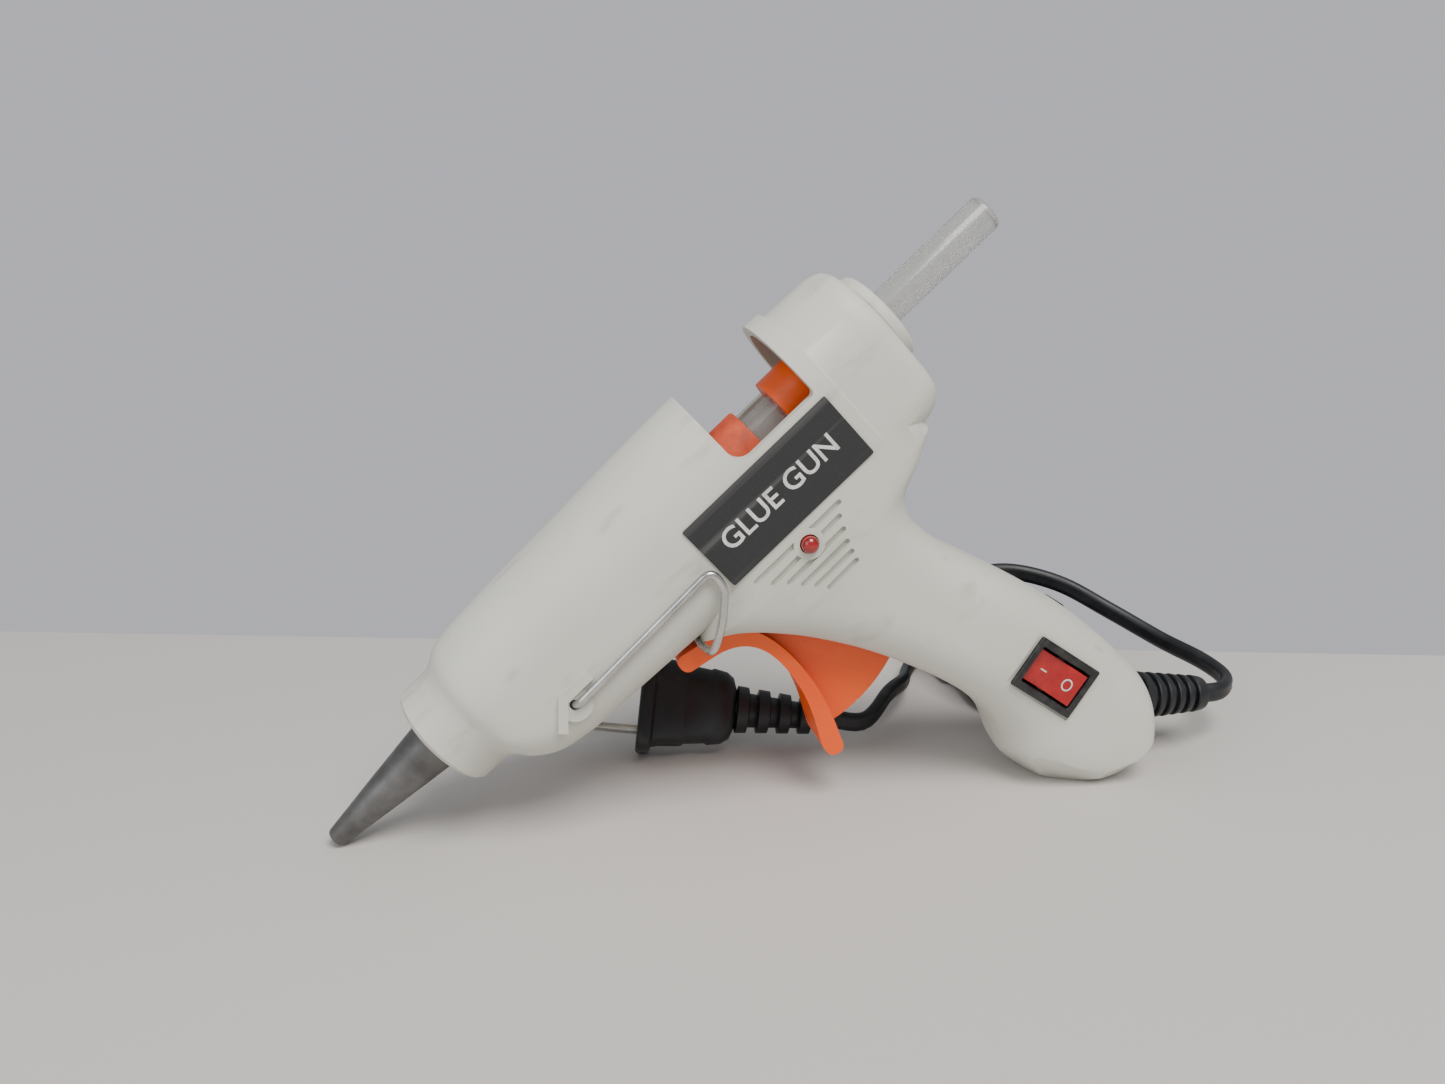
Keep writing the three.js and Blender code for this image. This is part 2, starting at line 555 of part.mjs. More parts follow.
const lampDome = [[0, 1.9], [1.1, 1.9], [1.1, LED_R], [4.4, LED_R], [5.2, 1.25], [5.7, 0.7], [5.85, 0]];
const lampLathe = new THREE.LatheGeometry(
  [[0, 0], ...lampDome].map(([x, r]) => new THREE.Vector2(r, x)), 16,
);
const lamp = solid(lampLathe.rotateX(Math.PI).translate(
  LED_AT[0], -HALF_WIDTH + WALL + 2.2 - 0.2, LED_AT[1],
));

const sFace = -HALF_WIDTH - SWITCH.rim + 0.5;
const sSeat = -HALF_WIDTH + 0.5 - GAP;
const sw = SWITCH.width / 2;
const sl = SWITCH.length / 2;
const open = [3.9, 6.1];
const switchHousing = inSwitch(cut(
  unite(
    box(-sw, sw, sFace, sSeat, -sl, sl),
    box(
      -SWITCH.bodyWidth / 2, SWITCH.bodyWidth / 2, sSeat - 0.4, sSeat + SWITCH.deep,
      -SWITCH.bodyLength / 2, SWITCH.bodyLength / 2,
    ),
    box(-0.4, 0.4, sSeat + SWITCH.deep - 0.5, sSeat + SWITCH.deep + 5, -5.2, -1.8),
    box(-0.4, 0.4, sSeat + SWITCH.deep - 0.5, sSeat + SWITCH.deep + 5, 1.8, 5.2),
  ),
  box(-open[0], open[0], -across, sSeat + 6.5, -open[1], open[1]),
));
const rockerY = sSeat + 1.8;
const rockerR = 0.95;
const rockerBar = (r, length) => solid(
  new THREE.CylinderGeometry(r, r, length, 12).rotateZ(Math.PI / 2).translate(0, rockerY, 0),
);
const tip = 3.2;
const rockerSide = new THREE.Shape();
rockerSide.moveTo(-5.3, 0.4).lineTo(-5.5, -tip + 0.5).lineTo(-0.6, -tip + 1.3);
rockerSide.lineTo(0.6, -tip + 1.3).lineTo(5.5, -tip + 0.5).lineTo(5.3, 0.4).lineTo(2, 2.6).lineTo(-2, 2.6);
const rockerBody = new THREE.ExtrudeGeometry(rockerSide, { depth: 6.8, bevelEnabled: false });
rockerBody.translate(0, 0, -3.4).rotateZ(THREE.MathUtils.degToRad(-ROCKER_TILT));
rockerBody.applyMatrix4(new THREE.Matrix4().makeBasis(
  new THREE.Vector3(0, 0, 1), new THREE.Vector3(0, 1, 0), new THREE.Vector3(-1, 0, 0),
));
const rocker = inSwitch(solid(rockerBody.translate(0, rockerY, 0)).subtract(
  rockerBar(rockerR + RUN, 20),
));
const rockerPin = inSwitch(rockerBar(rockerR, 7.4));

const label = box(
  LABEL.x0, LABEL.x1, -HALF_WIDTH - 0.1 - LABEL.thick, -HALF_WIDTH - 0.1, LABEL.z0, LABEL.z1,
);
const screw = ([x, z]) => unite(
  bar(x, z, 1.2, -8.4, HALF_WIDTH - 2.4, 12),
  bar(x, z, 2.4, HALF_WIDTH - 2.45, HALF_WIDTH - 0.6, 16),
);

// ---- wiring inside the casing ------------------------------------------------------------
const insulated = (points) => solid(bent(smooth(points, 18), 0.75, 6));
const liveIn = insulated([
  [124.4, -1.6, -91.6], [121.4, -2.0, -88.4], [118.6, 0.6, -85.0], [117.0, 5.0, -81.4],
  [118.3, 6.6, -77.6],
]);
const liveOut = insulated([
  [117.2, 5.4, -68.6], [116.2, 7.8, -62], [110, 8.4, -48], [103, 8.8, -38], [97, 9.2, -28],
  [91, 9.4, -14.5], [82, 8.2, -11.6], [73.6, 2.4, -7.8],
]);
const neutral = insulated([
  [124.4, 1.8, -91.6], [122, 4.4, -89], [119.0, 8.0, -82], [114.0, 8.6, -68], [113.5, 5.0, -57],
  [112.5, -4.0, -52], [109, -8.4, -45], [103.0, -9.2, -33], [96, -9.4, -20], [89, -8.8, -13],
  [81, -7.6, -11.4], [73.6, -2.4, -7.8],
]);
const lampWire = insulated([
  [101.2, -HALF_WIDTH + WALL + 2.9, -18.4], [100.8, -6.9, -23], [102.2, -7.4, -28], [106.2, -7.6, -35.4],
]);

// ---- lead, hank, tie and plug (world frame) ----------------------------------------------
const ribs = Array.from({ length: 5 }, (_, i) => {
  const x = 2.2 + i * 2.35;
  const r = RELIEF.root - ((RELIEF.root - RELIEF.end) * x) / RELIEF.length;
  return [[x, r], [x, r - 0.8], [x + 0.9, r - 0.8], [x + 0.9, r]];
});
const relief = solid(geometryOf(turned([
  [-6.6, 0], [-6.6, RELIEF.neck + 1.0], [-5.2, RELIEF.neck + 1.0], [-5.2, RELIEF.neck],
  [0.4, RELIEF.neck], [0.4, RELIEF.root],
  ...ribs.flat(), [RELIEF.length - 0.5, RELIEF.end], [RELIEF.length, RELIEF.end - 0.5], [RELIEF.length, 0],
], 16)).applyMatrix4(reliefFrame));
const reliefTip = new THREE.Vector3(RELIEF.length + GAP, 0, 0).applyMatrix4(reliefFrame);
const leadOut = solid(bent(smooth([
  reliefTip.toArray(),
  [reliefTip.x + 5, 1.0, 12.0],
  [188.6, 7.0, 11.6],
  [189.6, 16.0, 12.0],
  [185.8, 28.0, 13.6],
  [178.4, 38.0, 18.0],
  [167.6, 45.0, 24.0],
  [156.0, 49.6, 27.0],
  [147.4, 49.8, 26.6],
  [142.2, 44.8, 24.2],
  [HANK.x - HANK.wide / 2 + CORD_R, 37.0, HANK.lift + HANK.tall + CORD_R + 1.2],
  [HANK.x - HANK.wide / 2 + CORD_R, 29.0, HANK.lift + HANK.tall + CORD_R + GAP],
], 34), CORD_R, 8));
const hankShape = new THREE.Shape();
const [hl, hw, hb] = [HANK.long / 2, HANK.wide / 2, HANK.band];
hankShape.absarc(0, hl - hw, hw, 0, Math.PI).absarc(0, hw - hl, hw, Math.PI, 2 * Math.PI);
const hankHole = new THREE.Path();
hankHole.absarc(0, hl - hw, hw - hb, 0, Math.PI).absarc(0, hw - hl, hw - hb, Math.PI, 2 * Math.PI);
hankShape.holes.push(hankHole);
const hank = solid(
  new THREE.ExtrudeGeometry(hankShape, { depth: HANK.tall, bevelEnabled: false, curveSegments: 8 })
    .translate(HANK.x, HANK.y, HANK.lift),
);
// The tie is a flat belt round the middle of the hank.
const beltInner = roundedBox(-hw - GAP, hw + GAP, HANK.lift - GAP, HANK.lift + HANK.tall + GAP, 0.3);
const belt = roundedBox(
  -hw - GAP - TIE.thick, hw + GAP + TIE.thick,
  HANK.lift - GAP - TIE.thick, HANK.lift + HANK.tall + GAP + TIE.thick, 1.1,
);
belt.holes.push(new THREE.Path(beltInner.getPoints(4)));
const hankTie = plate(belt, -TIE.wide / 2, TIE.wide / 2, 4).translate([HANK.x, HANK.y + 6, 0]);
const PLUG_AT = [62.2, 25.5, 11.75]; // clear of the wire stand when it swings out
const plugWay = new THREE.Vector3(40, -6.5, -5.6).normalize();
const plugUp = new THREE.Vector3(0.05, 0.5, 0.86);
const plugSide = plugUp.clone().cross(plugWay).normalize();
const plugTop = plugWay.clone().cross(plugSide).normalize();
const plugFrame = new THREE.Matrix4().makeBasis(plugWay, plugSide, plugTop).setPosition(...PLUG_AT);
const inPlug = (manifold) => solid(geometryOf(manifold).applyMatrix4(plugFrame));
const boot = [
  [19, 5.2], [21, 4.6], [21.6, 3.5], [23.4, 3.4], [23.8, 4.4], [26.4, 4.3], [26.9, 3.3],
  [28.7, 3.2], [29.1, 4.1], [31.7, 4.0], [32.2, 3.0], [34, 2.9], [34.4, 3.8], [38.2, 3.5],
  [40.2, 2.9],
];
const plugRing = (x, w, h, power) => Array.from({ length: 16 }, (_, i) => {
  const q = (2 * Math.PI * i) / 16;
  const [c, s] = [Math.cos(q), Math.sin(q)];
  return new THREE.Vector3(
    x, w * Math.sign(c) * Math.abs(c) ** (2 / power),
    h * Math.sign(s) * Math.abs(s) ** (2 / power),
  );
});
const plugBody = inPlug(solid(skin([
  plugRing(-1.7, 6.6, 10.9, 4), plugRing(-1.2, 7.1, 11.4, 4), plugRing(1.0, 7.1, 11.4, 4),
  plugRing(2.4, 6.4, 9.4, 4), plugRing(12, 6.2, 8.6, 4), plugRing(17, 5.6, 7.4, 3.2),
  ...boot.map(([x, r]) => plugRing(x, r, r, 2)),
])));
const bladeAt = (s) => inPlug(box(
  -1.7 - GAP - BLADE.out, -1.7 - GAP, -BLADE.wide / 2, BLADE.wide / 2,
  s * BLADE.apart / 2 - BLADE.thick / 2, s * BLADE.apart / 2 + BLADE.thick / 2,
));
const PLUG_LENGTH = 40.2; // face to the end of the boot
const plugEnd = plugWay.clone().multiplyScalar(PLUG_LENGTH + GAP).add(new THREE.Vector3(...PLUG_AT));
const afterPlug = plugWay.clone().multiplyScalar(PLUG_LENGTH + 7).add(new THREE.Vector3(...PLUG_AT));
const leadBack = solid(bent(smooth([
  [146.2, 67.9, CORD_R],
  [140.4, 63.6, CORD_R],
  [134.6, 57.4, CORD_R],
  [129.2, 48.0, 3.0],
  [123.8, 35.0, 6.2],
  [116.8, 25.4, 8.0],
  afterPlug.toArray(),
  plugEnd.toArray(),
], 30), CORD_R, 8));

// ---- naming, colours and the standing pose -----------------------------------------------
const group = new THREE.Group();
// colour, roughness, metalness
const finishes = {
  casing: ["#cfcdbd", 0.45, 0],
  metal: ["#6d6c68", 0.45, 0.9],
  alloy: ["#b9bbbd", 0.4, 0.9],
  steel: ["#c9c9c7", 0.3, 0.9],
  ceramic: ["#e8e4da", 0.7, 0],
  silicone: ["#c2401c", 0.8, 0],
  orange: ["#cf4a12", 0.35, 0],
  clear: ["#e4ded2", 0.25, 0],
  black: ["#16171a", 0.5, 0],
  red: ["#9c1a16", 0.4, 0],
  charcoal: ["#2b2b2b", 0.7, 0],
  brass: ["#b99a55", 0.35, 0.9],
};
function put(name, manifold, finish, standing = false) {
  const [color, roughness, metalness] = finishes[finish];
  const g = geometryOf(manifold);
  if (!standing) g.applyMatrix4(stand);
  g.computeVertexNormals();
  const mesh = new THREE.Mesh(g, new THREE.MeshStandardMaterial({ color, roughness, metalness }));
  mesh.name = name;
  group.add(mesh);
  return mesh;
}
put("left_shell", leftShell, "casing");
put("right_shell", rightShell, "casing");
put("nozzle", nozzle, "metal");
put("nozzle_ring", collarRing, "ceramic");
put("melt_chamber", meltChamber, "alloy");
put("heater", heater, "ceramic");
put("heater_clip", heaterClip, "steel");
put("inlet_sleeve", inletSleeve, "silicone");
put("feeder_ring", feederRing, "orange");
put("link_bar", linkBar, "steel");
put("glue_stick", glueStick, "clear");
put("rear_bush", rearBush, "casing");
put("trigger", trigger, "orange");
put("trigger_pin", triggerPin, "steel");
put("return_spring", returnSpring, "steel");
put("wire_stand", wireStand, "steel");
put("lamp", lamp, "red");
put("switch_housing", switchHousing, "black");
put("rocker", rocker, "red");
put("rocker_pin", rockerPin, "black");
put("label", label, "charcoal");
SCREWS.forEach((at, i) => put("screw_" + (i + 1), screw(at), "steel"));
put("wire_live_in", liveIn, "red");
put("wire_live_out", liveOut, "red");
put("wire_neutral", neutral, "black");
put("wire_lamp", lampWire, "red");
put("strain_relief", relief, "black", true);
const cordMeshes = [
  put("lead_out", leadOut, "black", true),
  put("lead_hank", hank, "black", true),
  put("hank_tie", hankTie, "black", true),
  put("lead_back", leadBack, "black", true),
  put("plug_body", plugBody, "black", true),
  put("plug_blade_a", bladeAt(1), "brass", true),
  put("plug_blade_b", bladeAt(-1), "brass", true),
];

// Origin below the middle of the gun itself, without its lead.
const bounds = new THREE.Box3();
group.children.filter((m) => !cordMeshes.includes(m)).forEach((m) => bounds.expandByObject(m));
const centre = bounds.getCenter(new THREE.Vector3());
group.children.forEach((m) => m.geometry.translate(-centre.x, -centre.y, -bounds.min.z));

export default group;
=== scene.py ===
"""Small hot-melt glue gun, standing on its nozzle tip and the heel of its grip.

Shapes are worked out in millimetres with the gun held level: x from the nozzle tip to the rear, y across,
z up from the bore axis. stand() then tilts them into the row frame, in metres.
"""
import math

import bmesh
import bpy
import numpy as np
from mathutils import Matrix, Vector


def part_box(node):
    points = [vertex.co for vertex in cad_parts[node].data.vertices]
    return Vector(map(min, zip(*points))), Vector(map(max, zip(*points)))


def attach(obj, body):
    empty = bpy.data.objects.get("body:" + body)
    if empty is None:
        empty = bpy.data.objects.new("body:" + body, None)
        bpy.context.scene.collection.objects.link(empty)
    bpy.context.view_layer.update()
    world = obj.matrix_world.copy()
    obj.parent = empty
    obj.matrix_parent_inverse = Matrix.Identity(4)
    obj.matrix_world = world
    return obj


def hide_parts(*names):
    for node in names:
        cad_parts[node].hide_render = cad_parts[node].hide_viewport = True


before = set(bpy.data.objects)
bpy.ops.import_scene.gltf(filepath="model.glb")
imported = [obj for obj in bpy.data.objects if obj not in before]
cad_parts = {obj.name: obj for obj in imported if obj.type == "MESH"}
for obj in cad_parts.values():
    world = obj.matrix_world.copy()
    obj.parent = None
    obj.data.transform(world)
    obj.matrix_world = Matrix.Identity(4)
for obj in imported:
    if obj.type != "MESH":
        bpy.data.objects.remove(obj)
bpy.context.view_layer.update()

# ---- where things are -------------------------------------------------------------------
# The bore axis slopes 41.6 degrees above the table. The trigger pin's place in the row frame
# fixes the rest.
SLOPE = math.radians(41.6)
TRIGGER_PIN = (87.0, -22.5)
pin_low, pin_high = (np.array(corner) * 1000 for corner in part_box("trigger_pin"))
TABLE_SHIFT = (pin_low + pin_high) / 2 - np.array([
    TRIGGER_PIN[0] * math.cos(SLOPE) - TRIGGER_PIN[1] * math.sin(SLOPE),
    0,
    TRIGGER_PIN[0] * math.sin(SLOPE) + TRIGGER_PIN[1] * math.cos(SLOPE),
])


def stand(points):
    """Level millimetres to the row frame in metres: turned by the slope about y, then shifted."""
    x, y, z = np.moveaxis(np.asarray(points, float), -1, 0)
    tilted = np.stack([
        x * math.cos(SLOPE) - z * math.sin(SLOPE),
        y,
        x * math.sin(SLOPE) + z * math.cos(SLOPE),
    ], axis=-1)
    return (tilted + TABLE_SHIFT) / 1000


def on_table(points):
    """Table millimetres, counted from below the nozzle tip, to the row frame in metres."""
    return (np.asarray(points, float) + [TABLE_SHIFT[0], TABLE_SHIFT[1], 0]) / 1000


# ---- camera -----------------------------------------------------------------------------
# Just left of the gun's middle and a little above it, turned 11 degrees to the right and
# looking 15 degrees down.
camera_data = bpy.data.cameras.new("camera")
camera_data.sensor_width = 36
camera_data.lens = 27.405
camera_data.clip_start = 0.01
camera = bpy.data.objects.new("camera", camera_data)
bpy.context.scene.collection.objects.link(camera)
bpy.context.scene.camera = camera
ahead = np.array([0.1851, 0.9467, -0.2637])
ahead /= np.linalg.norm(ahead)
right = np.array([0.9802, -0.197, -0.0191])
right -= ahead * (right @ ahead)
right /= np.linalg.norm(right)
camera_matrix = np.eye(4)
camera_matrix[:3, 0] = right
camera_matrix[:3, 1] = np.cross(right, ahead)
camera_matrix[:3, 2] = -ahead
camera_matrix[:3, 3] = on_table([36.4, -194.1, 107.3])
camera.matrix_world = Matrix(camera_matrix.tolist())

# ---- lead -------------------------------------------------------------------------------
# Flat two-core flexible lead, black PVC, 4.2 mm wide. It leaves the strain relief, turns back
# behind the grip, is folded into a tied hank there, and comes out low to the plug.


def grid_faces(rows, columns, wrap=True, first=0):
    """Quads of a rows x columns grid; wrap joins the last column to the first."""
    i, j = np.meshgrid(np.arange(rows - 1), np.arange(columns if wrap else columns - 1), indexing="ij")
    k = (j + 1) % columns
    here, next_row = i * columns, (i + 1) * columns
    quads = np.stack([here + j, here + k, next_row + k, next_row + j], axis=-1)
    return (quads.reshape(-1, 4) + first).tolist()


def closed_grid(points, first=0):
    """Faces of a grid of closed rings with a face over each end."""
    rows, columns = points.shape[:2]
    last = first + (rows - 1) * columns
    start_cap = list(range(first, first + columns))[::-1]
    end_cap = list(range(last, last + columns))
    return grid_faces(rows, columns, True, first) + [start_cap, end_cap]


def mesh_object(name, parts, sharp=35):
    """One mesh from (points, faces) parts: doubles merged, faces out, edges over sharp degrees kept."""
    verts, faces, first = [], [], 0
    for points, part_faces in parts:
        flat = points.reshape(-1, 3)
        verts.append(flat)
        faces += [[first + v for v in face] for face in part_faces]
        first += len(flat)
    mesh = bpy.data.meshes.new(name)
    mesh.from_pydata(np.concatenate(verts).tolist(), [], faces)
    tidy = bmesh.new()
    tidy.from_mesh(mesh)
    bmesh.ops.remove_doubles(tidy, verts=tidy.verts, dist=2e-6)
    bmesh.ops.recalc_face_normals(tidy, faces=tidy.faces)
    tidy.to_mesh(mesh)
    tidy.free()
    mesh.shade_smooth()
    mesh.set_sharp_from_angle(angle=math.radians(sharp))
    piece = bpy.data.objects.new(name, mesh)
    bpy.context.scene.collection.objects.link(piece)
    return piece


def fit(piece, material, body, slot, *nodes):
    """Material, body, slot (not used) and the CAD nodes that the piece stands for."""
    piece.data.materials.clear()
    piece.data.materials.append(material)
    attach(piece, body)
    if nodes:
        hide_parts(*nodes)
    return piece


def smooth_line(points, step):
    """A Catmull-Rom curve through the points (cubic Hermite, chord-length spacing), in even steps."""
    p = np.asarray(points, float)
    t = np.concatenate([[0], np.cumsum(np.sqrt(np.linalg.norm(np.diff(p, axis=0), axis=1)))])
    slope = np.gradient(p, t, axis=0)
    fine = np.linspace(0, t[-1], 60 * len(p))
    i = np.clip(np.searchsorted(t, fine, side="right") - 1, 0, len(p) - 2)
    h = (t[i + 1] - t[i])[:, None]
    u = ((fine - t[i])[:, None]) / h
    line = (
        (2 * u**3 - 3 * u**2 + 1) * p[i] + (u**3 - 2 * u**2 + u) * h * slope[i]
        + (3 * u**2 - 2 * u**3) * p[i + 1] + (u**3 - u**2) * h * slope[i + 1]
    )
    along = np.concatenate([[0], np.cumsum(np.linalg.norm(np.diff(line, axis=0), axis=1))])
    at = np.linspace(0, along[-1], max(3, int(round(along[-1] / step)) + 1))
    return np.stack([np.interp(at, along, line[:, k]) for k in range(line.shape[1])], axis=1)


def swept(line, section, up=(0, 0, 1)):
    """The section (across, upward) pairs carried square to the line, with upward kept near up."""
    way = np.gradient(line, axis=0)
    way /= np.linalg.norm(way, axis=1, keepdims=True)
    across = np.cross(way, np.asarray(up, float))
    across /= np.linalg.norm(across, axis=1, keepdims=True)
    upward = np.cross(across, way)
    section = np.asarray(section, float)
    if section.ndim == 2:
        section = np.broadcast_to(section, (len(line), *section.shape))
    return line[:, None] + section[..., :1] * across[:, None] + section[..., 1:] * upward[:, None]


def ring(radius, sides):
    """Points of a circle as (across, upward) pairs."""
    turn = np.linspace(0, 2 * np.pi, sides, endpoint=False)
    return np.stack([np.cos(turn), np.sin(turn)], axis=-1) * radius


def node_material(name, **plain_values):
    """A node material; each plain value goes to the shader's socket of that name."""
    material = bpy.data.materials.new(name)
    material.use_nodes = True
    shader = material.node_tree.nodes["Principled BSDF"]
    for socket, value in plain_values.items():
        shader.inputs[socket.replace("_", " ")].default_value = value
    return material


def to_shader(material, output, socket):
    """Join an output to one of the shader's sockets."""
    material.node_tree.links.new(output, material.node_tree.nodes["Principled BSDF"].inputs[socket])


def add_noise(material, scale, detail=4.0, stretch=(1, 1, 1), turn=0.0, kind="ShaderNodeTexNoise"):
    """A noise on object coordinates, scale in cycles per metre, stretched and turned about y."""
    nodes, links = material.node_tree.nodes, material.node_tree.links
    place = nodes.new("ShaderNodeTexCoord")
    mapping = nodes.new("ShaderNodeMapping")
    mapping.vector_type = "TEXTURE"
    mapping.inputs["Rotation"].default_value = (0, turn, 0)
    mapping.inputs["Scale"].default_value = stretch
    texture = nodes.new(kind)
    texture.inputs["Scale"].default_value = scale
    if "Detail" in texture.inputs:
        texture.inputs["Detail"].default_value = detail
    links.new(place.outputs["Object"], mapping.inputs["Vector"])
    links.new(mapping.outputs["Vector"], texture.inputs["Vector"])
    return texture


def add_ramp(material, source, stops):
    """A colour ramp on a value: stops are (place, colour)."""
    nodes, links = material.node_tree.nodes, material.node_tree.links
    ramp = nodes.new("ShaderNodeValToRGB")
    while len(ramp.color_ramp.elements) < len(stops):
        ramp.color_ramp.elements.new(0.5)
    for element, (place, colour) in zip(ramp.color_ramp.elements, stops):
        element.position = place
        element.color = (*colour, 1) if len(colour) == 3 else colour
    links.new(source, ramp.inputs["Fac"])
    return ramp


def add_bump(material, source, strength, distance, below=None):
    """A bump from a height value, on top of the one below it."""
    nodes, links = material.node_tree.nodes, material.node_tree.links
    bump = nodes.new("ShaderNodeBump")
    bump.inputs["Strength"].default_value = strength
    bump.inputs["Distance"].default_value = distance
    links.new(source, bump.inputs["Height"])
    if below is not None:
        links.new(below.outputs["Normal"], bump.inputs["Normal"])
    return bump


def tint(material, source, stops):
    """Base colour by a ramp on a value: stops are (place, colour)."""
    to_shader(material, add_ramp(material, source, stops).outputs["Color"], "Base Color")


def roughen(material, source, low, high):
    """Roughness by a ramp on a value, between two (place, roughness) stops."""
    stops = [(place, (rough,) * 3) for place, rough in (low, high)]
    to_shader(material, add_ramp(material, source, stops).outputs["Color"], "Roughness")


def emboss(material, source, strength, distance, below=None):
    """A bump as the shader's normal."""
    to_shader(material, add_bump(material, source, strength, distance, below).outputs["Normal"], "Normal")


def black_pvc():
    """Flexible black PVC: soft sheen, faint grey scuffs and dust, pebbled skin."""
    material = node_material("black_pvc")
    scuff = add_noise(material, 160, 6)
    tint(material, scuff.outputs["Fac"], [
        (0.35, (0.007, 0.008, 0.010)),
        (0.62, (0.013, 0.014, 0.017)),
        (0.75, (0.035, 0.036, 0.038)),
    ])
    roughen(material, scuff.outputs["Fac"], (0.3, 0.38), (0.7, 0.56))
    pebble = add_noise(material, 2600, 2)
    emboss(material, pebble.outputs["Fac"], 0.25, 0.00008)
    return material


PVC = black_pvc()
LEAD_WIDTH = 4.2
LEAD_THICK = 2.9
HANK = {"x": 153.8, "y": 42.0, "run": 10.0, "outer": 13.4, "inner": 10.4, "low": 3.4}
RELIEF = {"at": (162.3, 0, 13.4), "dip": math.radians(4), "root": 5.0, "end": 3.6, "length": 15.4}
relief_way = np.array([math.cos(RELIEF["dip"]), 0, -math.sin(RELIEF["dip"])])
relief_tip = np.array(RELIEF["at"]) + relief_way * RELIEF["length"]
PLUG_AT = np.array([62.2, 25.5, 11.75])
plug_way = np.array([40, -6.5, -5.6])
plug_way /= np.linalg.norm(plug_way)
PLUG_LENGTH = 40.2


def hank_turn(number):
    """One turn of the hank from the near end of its left run: round the near end, up the right run, round
    the far end, then down the left run while it moves over or down to the next turn's place."""
    layers = [3, 3, 2, 2, 1, 1, 0, 0]
    widths = [HANK["outer"], HANK["inner"], HANK["inner"], HANK["outer"]] * 2
    after = min(number + 1, 7)
    half = widths[number]
    height = HANK["low"] + LEAD_WIDTH * layers[number]
    turn = np.linspace(0, np.pi, 15)
    near = np.stack([-half * np.cos(turn), -HANK["run"] - half * np.sin(turn), 0 * turn + height], axis=1)
    far = np.stack([half * np.cos(turn), HANK["run"] + half * np.sin(turn), 0 * turn + height], axis=1)
    run = np.linspace(0, 1, 8)[1:-1]
    eased = run * run * (3 - 2 * run)
    left = np.stack([
        -(half + (widths[after] - half) * eased),
        HANK["run"] * (1 - 2 * run),
        height + (HANK["low"] + LEAD_WIDTH * layers[after] - height) * eased,
    ], axis=1)
    parts = [near, far, left] if number < 7 else [near, far[:8]]
    return np.concatenate(parts) + [HANK["x"], HANK["y"], 0]


lead_out = np.array([
    relief_tip - relief_way * 0.6,
    relief_tip + relief_way * 2.2,
    [183.4, 1.2, 11.9],
    [188.6, 7.0, 11.6],
    [189.6, 16.0, 12.0],
    [185.8, 28.0, 13.6],
    [178.4, 38.0, 18.0],
    [167.6, 45.0, 24.0],
    [156.0, 49.6, 26.6],
    [147.4, 49.0, 26.0],
    [142.4, 44.0, 23.4],
    [140.6, 38.0, 19.6],
    [140.4, 34.0, 17.0],
])
lead_back = np.array([
    [146.4, 65.0, 3.2],
    [140.4, 62.0, 2.7],
    [134.6, 56.0, 2.8],
    [129.2, 47.0, 3.4],
    [123.8, 35.0, 6.2],
    [116.8, 25.4, 8.0],
    PLUG_AT + plug_way * (PLUG_LENGTH + 7.0),
    PLUG_AT + plug_way * (PLUG_LENGTH - 1.0),
])
lead_line = smooth_line(np.concatenate([lead_out, *[hank_turn(n) for n in range(8)], lead_back]), 1.6)
# Two cores side by side: an oval with a shallow valley along each broad face.
VALLEY_DEPTH = 0.22
VALLEY_WIDTH = 0.45
oval = ring(1, 20) * [LEAD_THICK / 2, LEAD_WIDTH / 2]
oval[:, 0] *= 1 - VALLEY_DEPTH * np.exp(-(oval[:, 1] / VALLEY_WIDTH) ** 2)
lead_skin = swept(lead_line, oval)
lead = mesh_object("lead", [(on_table(lead_skin), closed_grid(lead_skin))], sharp=70)
fit(lead, PVC, "gun", "cord", "lead_out", "lead_hank", "lead_back")

# ---- hank tie ---------------------------------------------------------------------------
# Flat black rubber belt wound once round the hank, off its middle, so that the turns stay
# together. It has round corners where it goes over the outer runs.
TIE = {"y": 48.0, "wide": 7.0, "thick": 0.8, "half": 15.5, "low": 0.55, "high": 18.9, "corner": 2.2}


def rounded_box(x0, x1, z0, z1, radius, steps):
    """A rectangle's outline with a quarter circle at each corner, each of so many points."""
    arc = np.linspace(0, np.pi / 2, steps)
    return np.concatenate([
        np.stack([cx + radius * np.cos(arc + q), cz + radius * np.sin(arc + q)], axis=-1)
        for cx, cz, q in (
            (x1 - radius, z1 - radius, 0),
            (x0 + radius, z1 - radius, np.pi / 2),
            (x0 + radius, z0 + radius, np.pi),
            (x1 - radius, z0 + radius, 1.5 * np.pi),
        )
    ])


tie_loop = rounded_box(-TIE["half"], TIE["half"], TIE["low"], TIE["high"], TIE["corner"], 7)
tie_section = np.array([[-0.5, -0.5], [0.5, -0.5], [0.5, 0.5], [-0.5, 0.5]]) * [TIE["wide"], TIE["thick"]]
centre = tie_loop.mean(axis=0)
outward = (tie_loop - centre) / np.linalg.norm(tie_loop - centre, axis=1, keepdims=True)
tie_points = np.stack([
    np.stack([
        HANK["x"] + tie_loop[:, 0] + outward[:, 0] * rise,
        np.full(len(tie_loop), TIE["y"] + along),
        tie_loop[:, 1] + outward[:, 1] * rise,
    ], axis=-1)
    for along, rise in tie_section
], axis=1)
wrapped = np.concatenate([tie_points, tie_points[:1]])
tie = mesh_object("hank_tie_belt", [(on_table(wrapped), grid_faces(len(wrapped), 4))])
fit(tie, PVC, "gun", "cord", "hank_tie")

# ---- plug -------------------------------------------------------------------------------
# Moulded two-blade plug: a thick finger flange, a tapering grip with a raised rim, and a
# ribbed boot over the lead. The blades are stamped strip, plated.
plug_side = np.cross([0.05, 0.5, 0.86], plug_way)
plug_side /= np.linalg.norm(plug_side)
plug_top = np.cross(plug_way, plug_side)


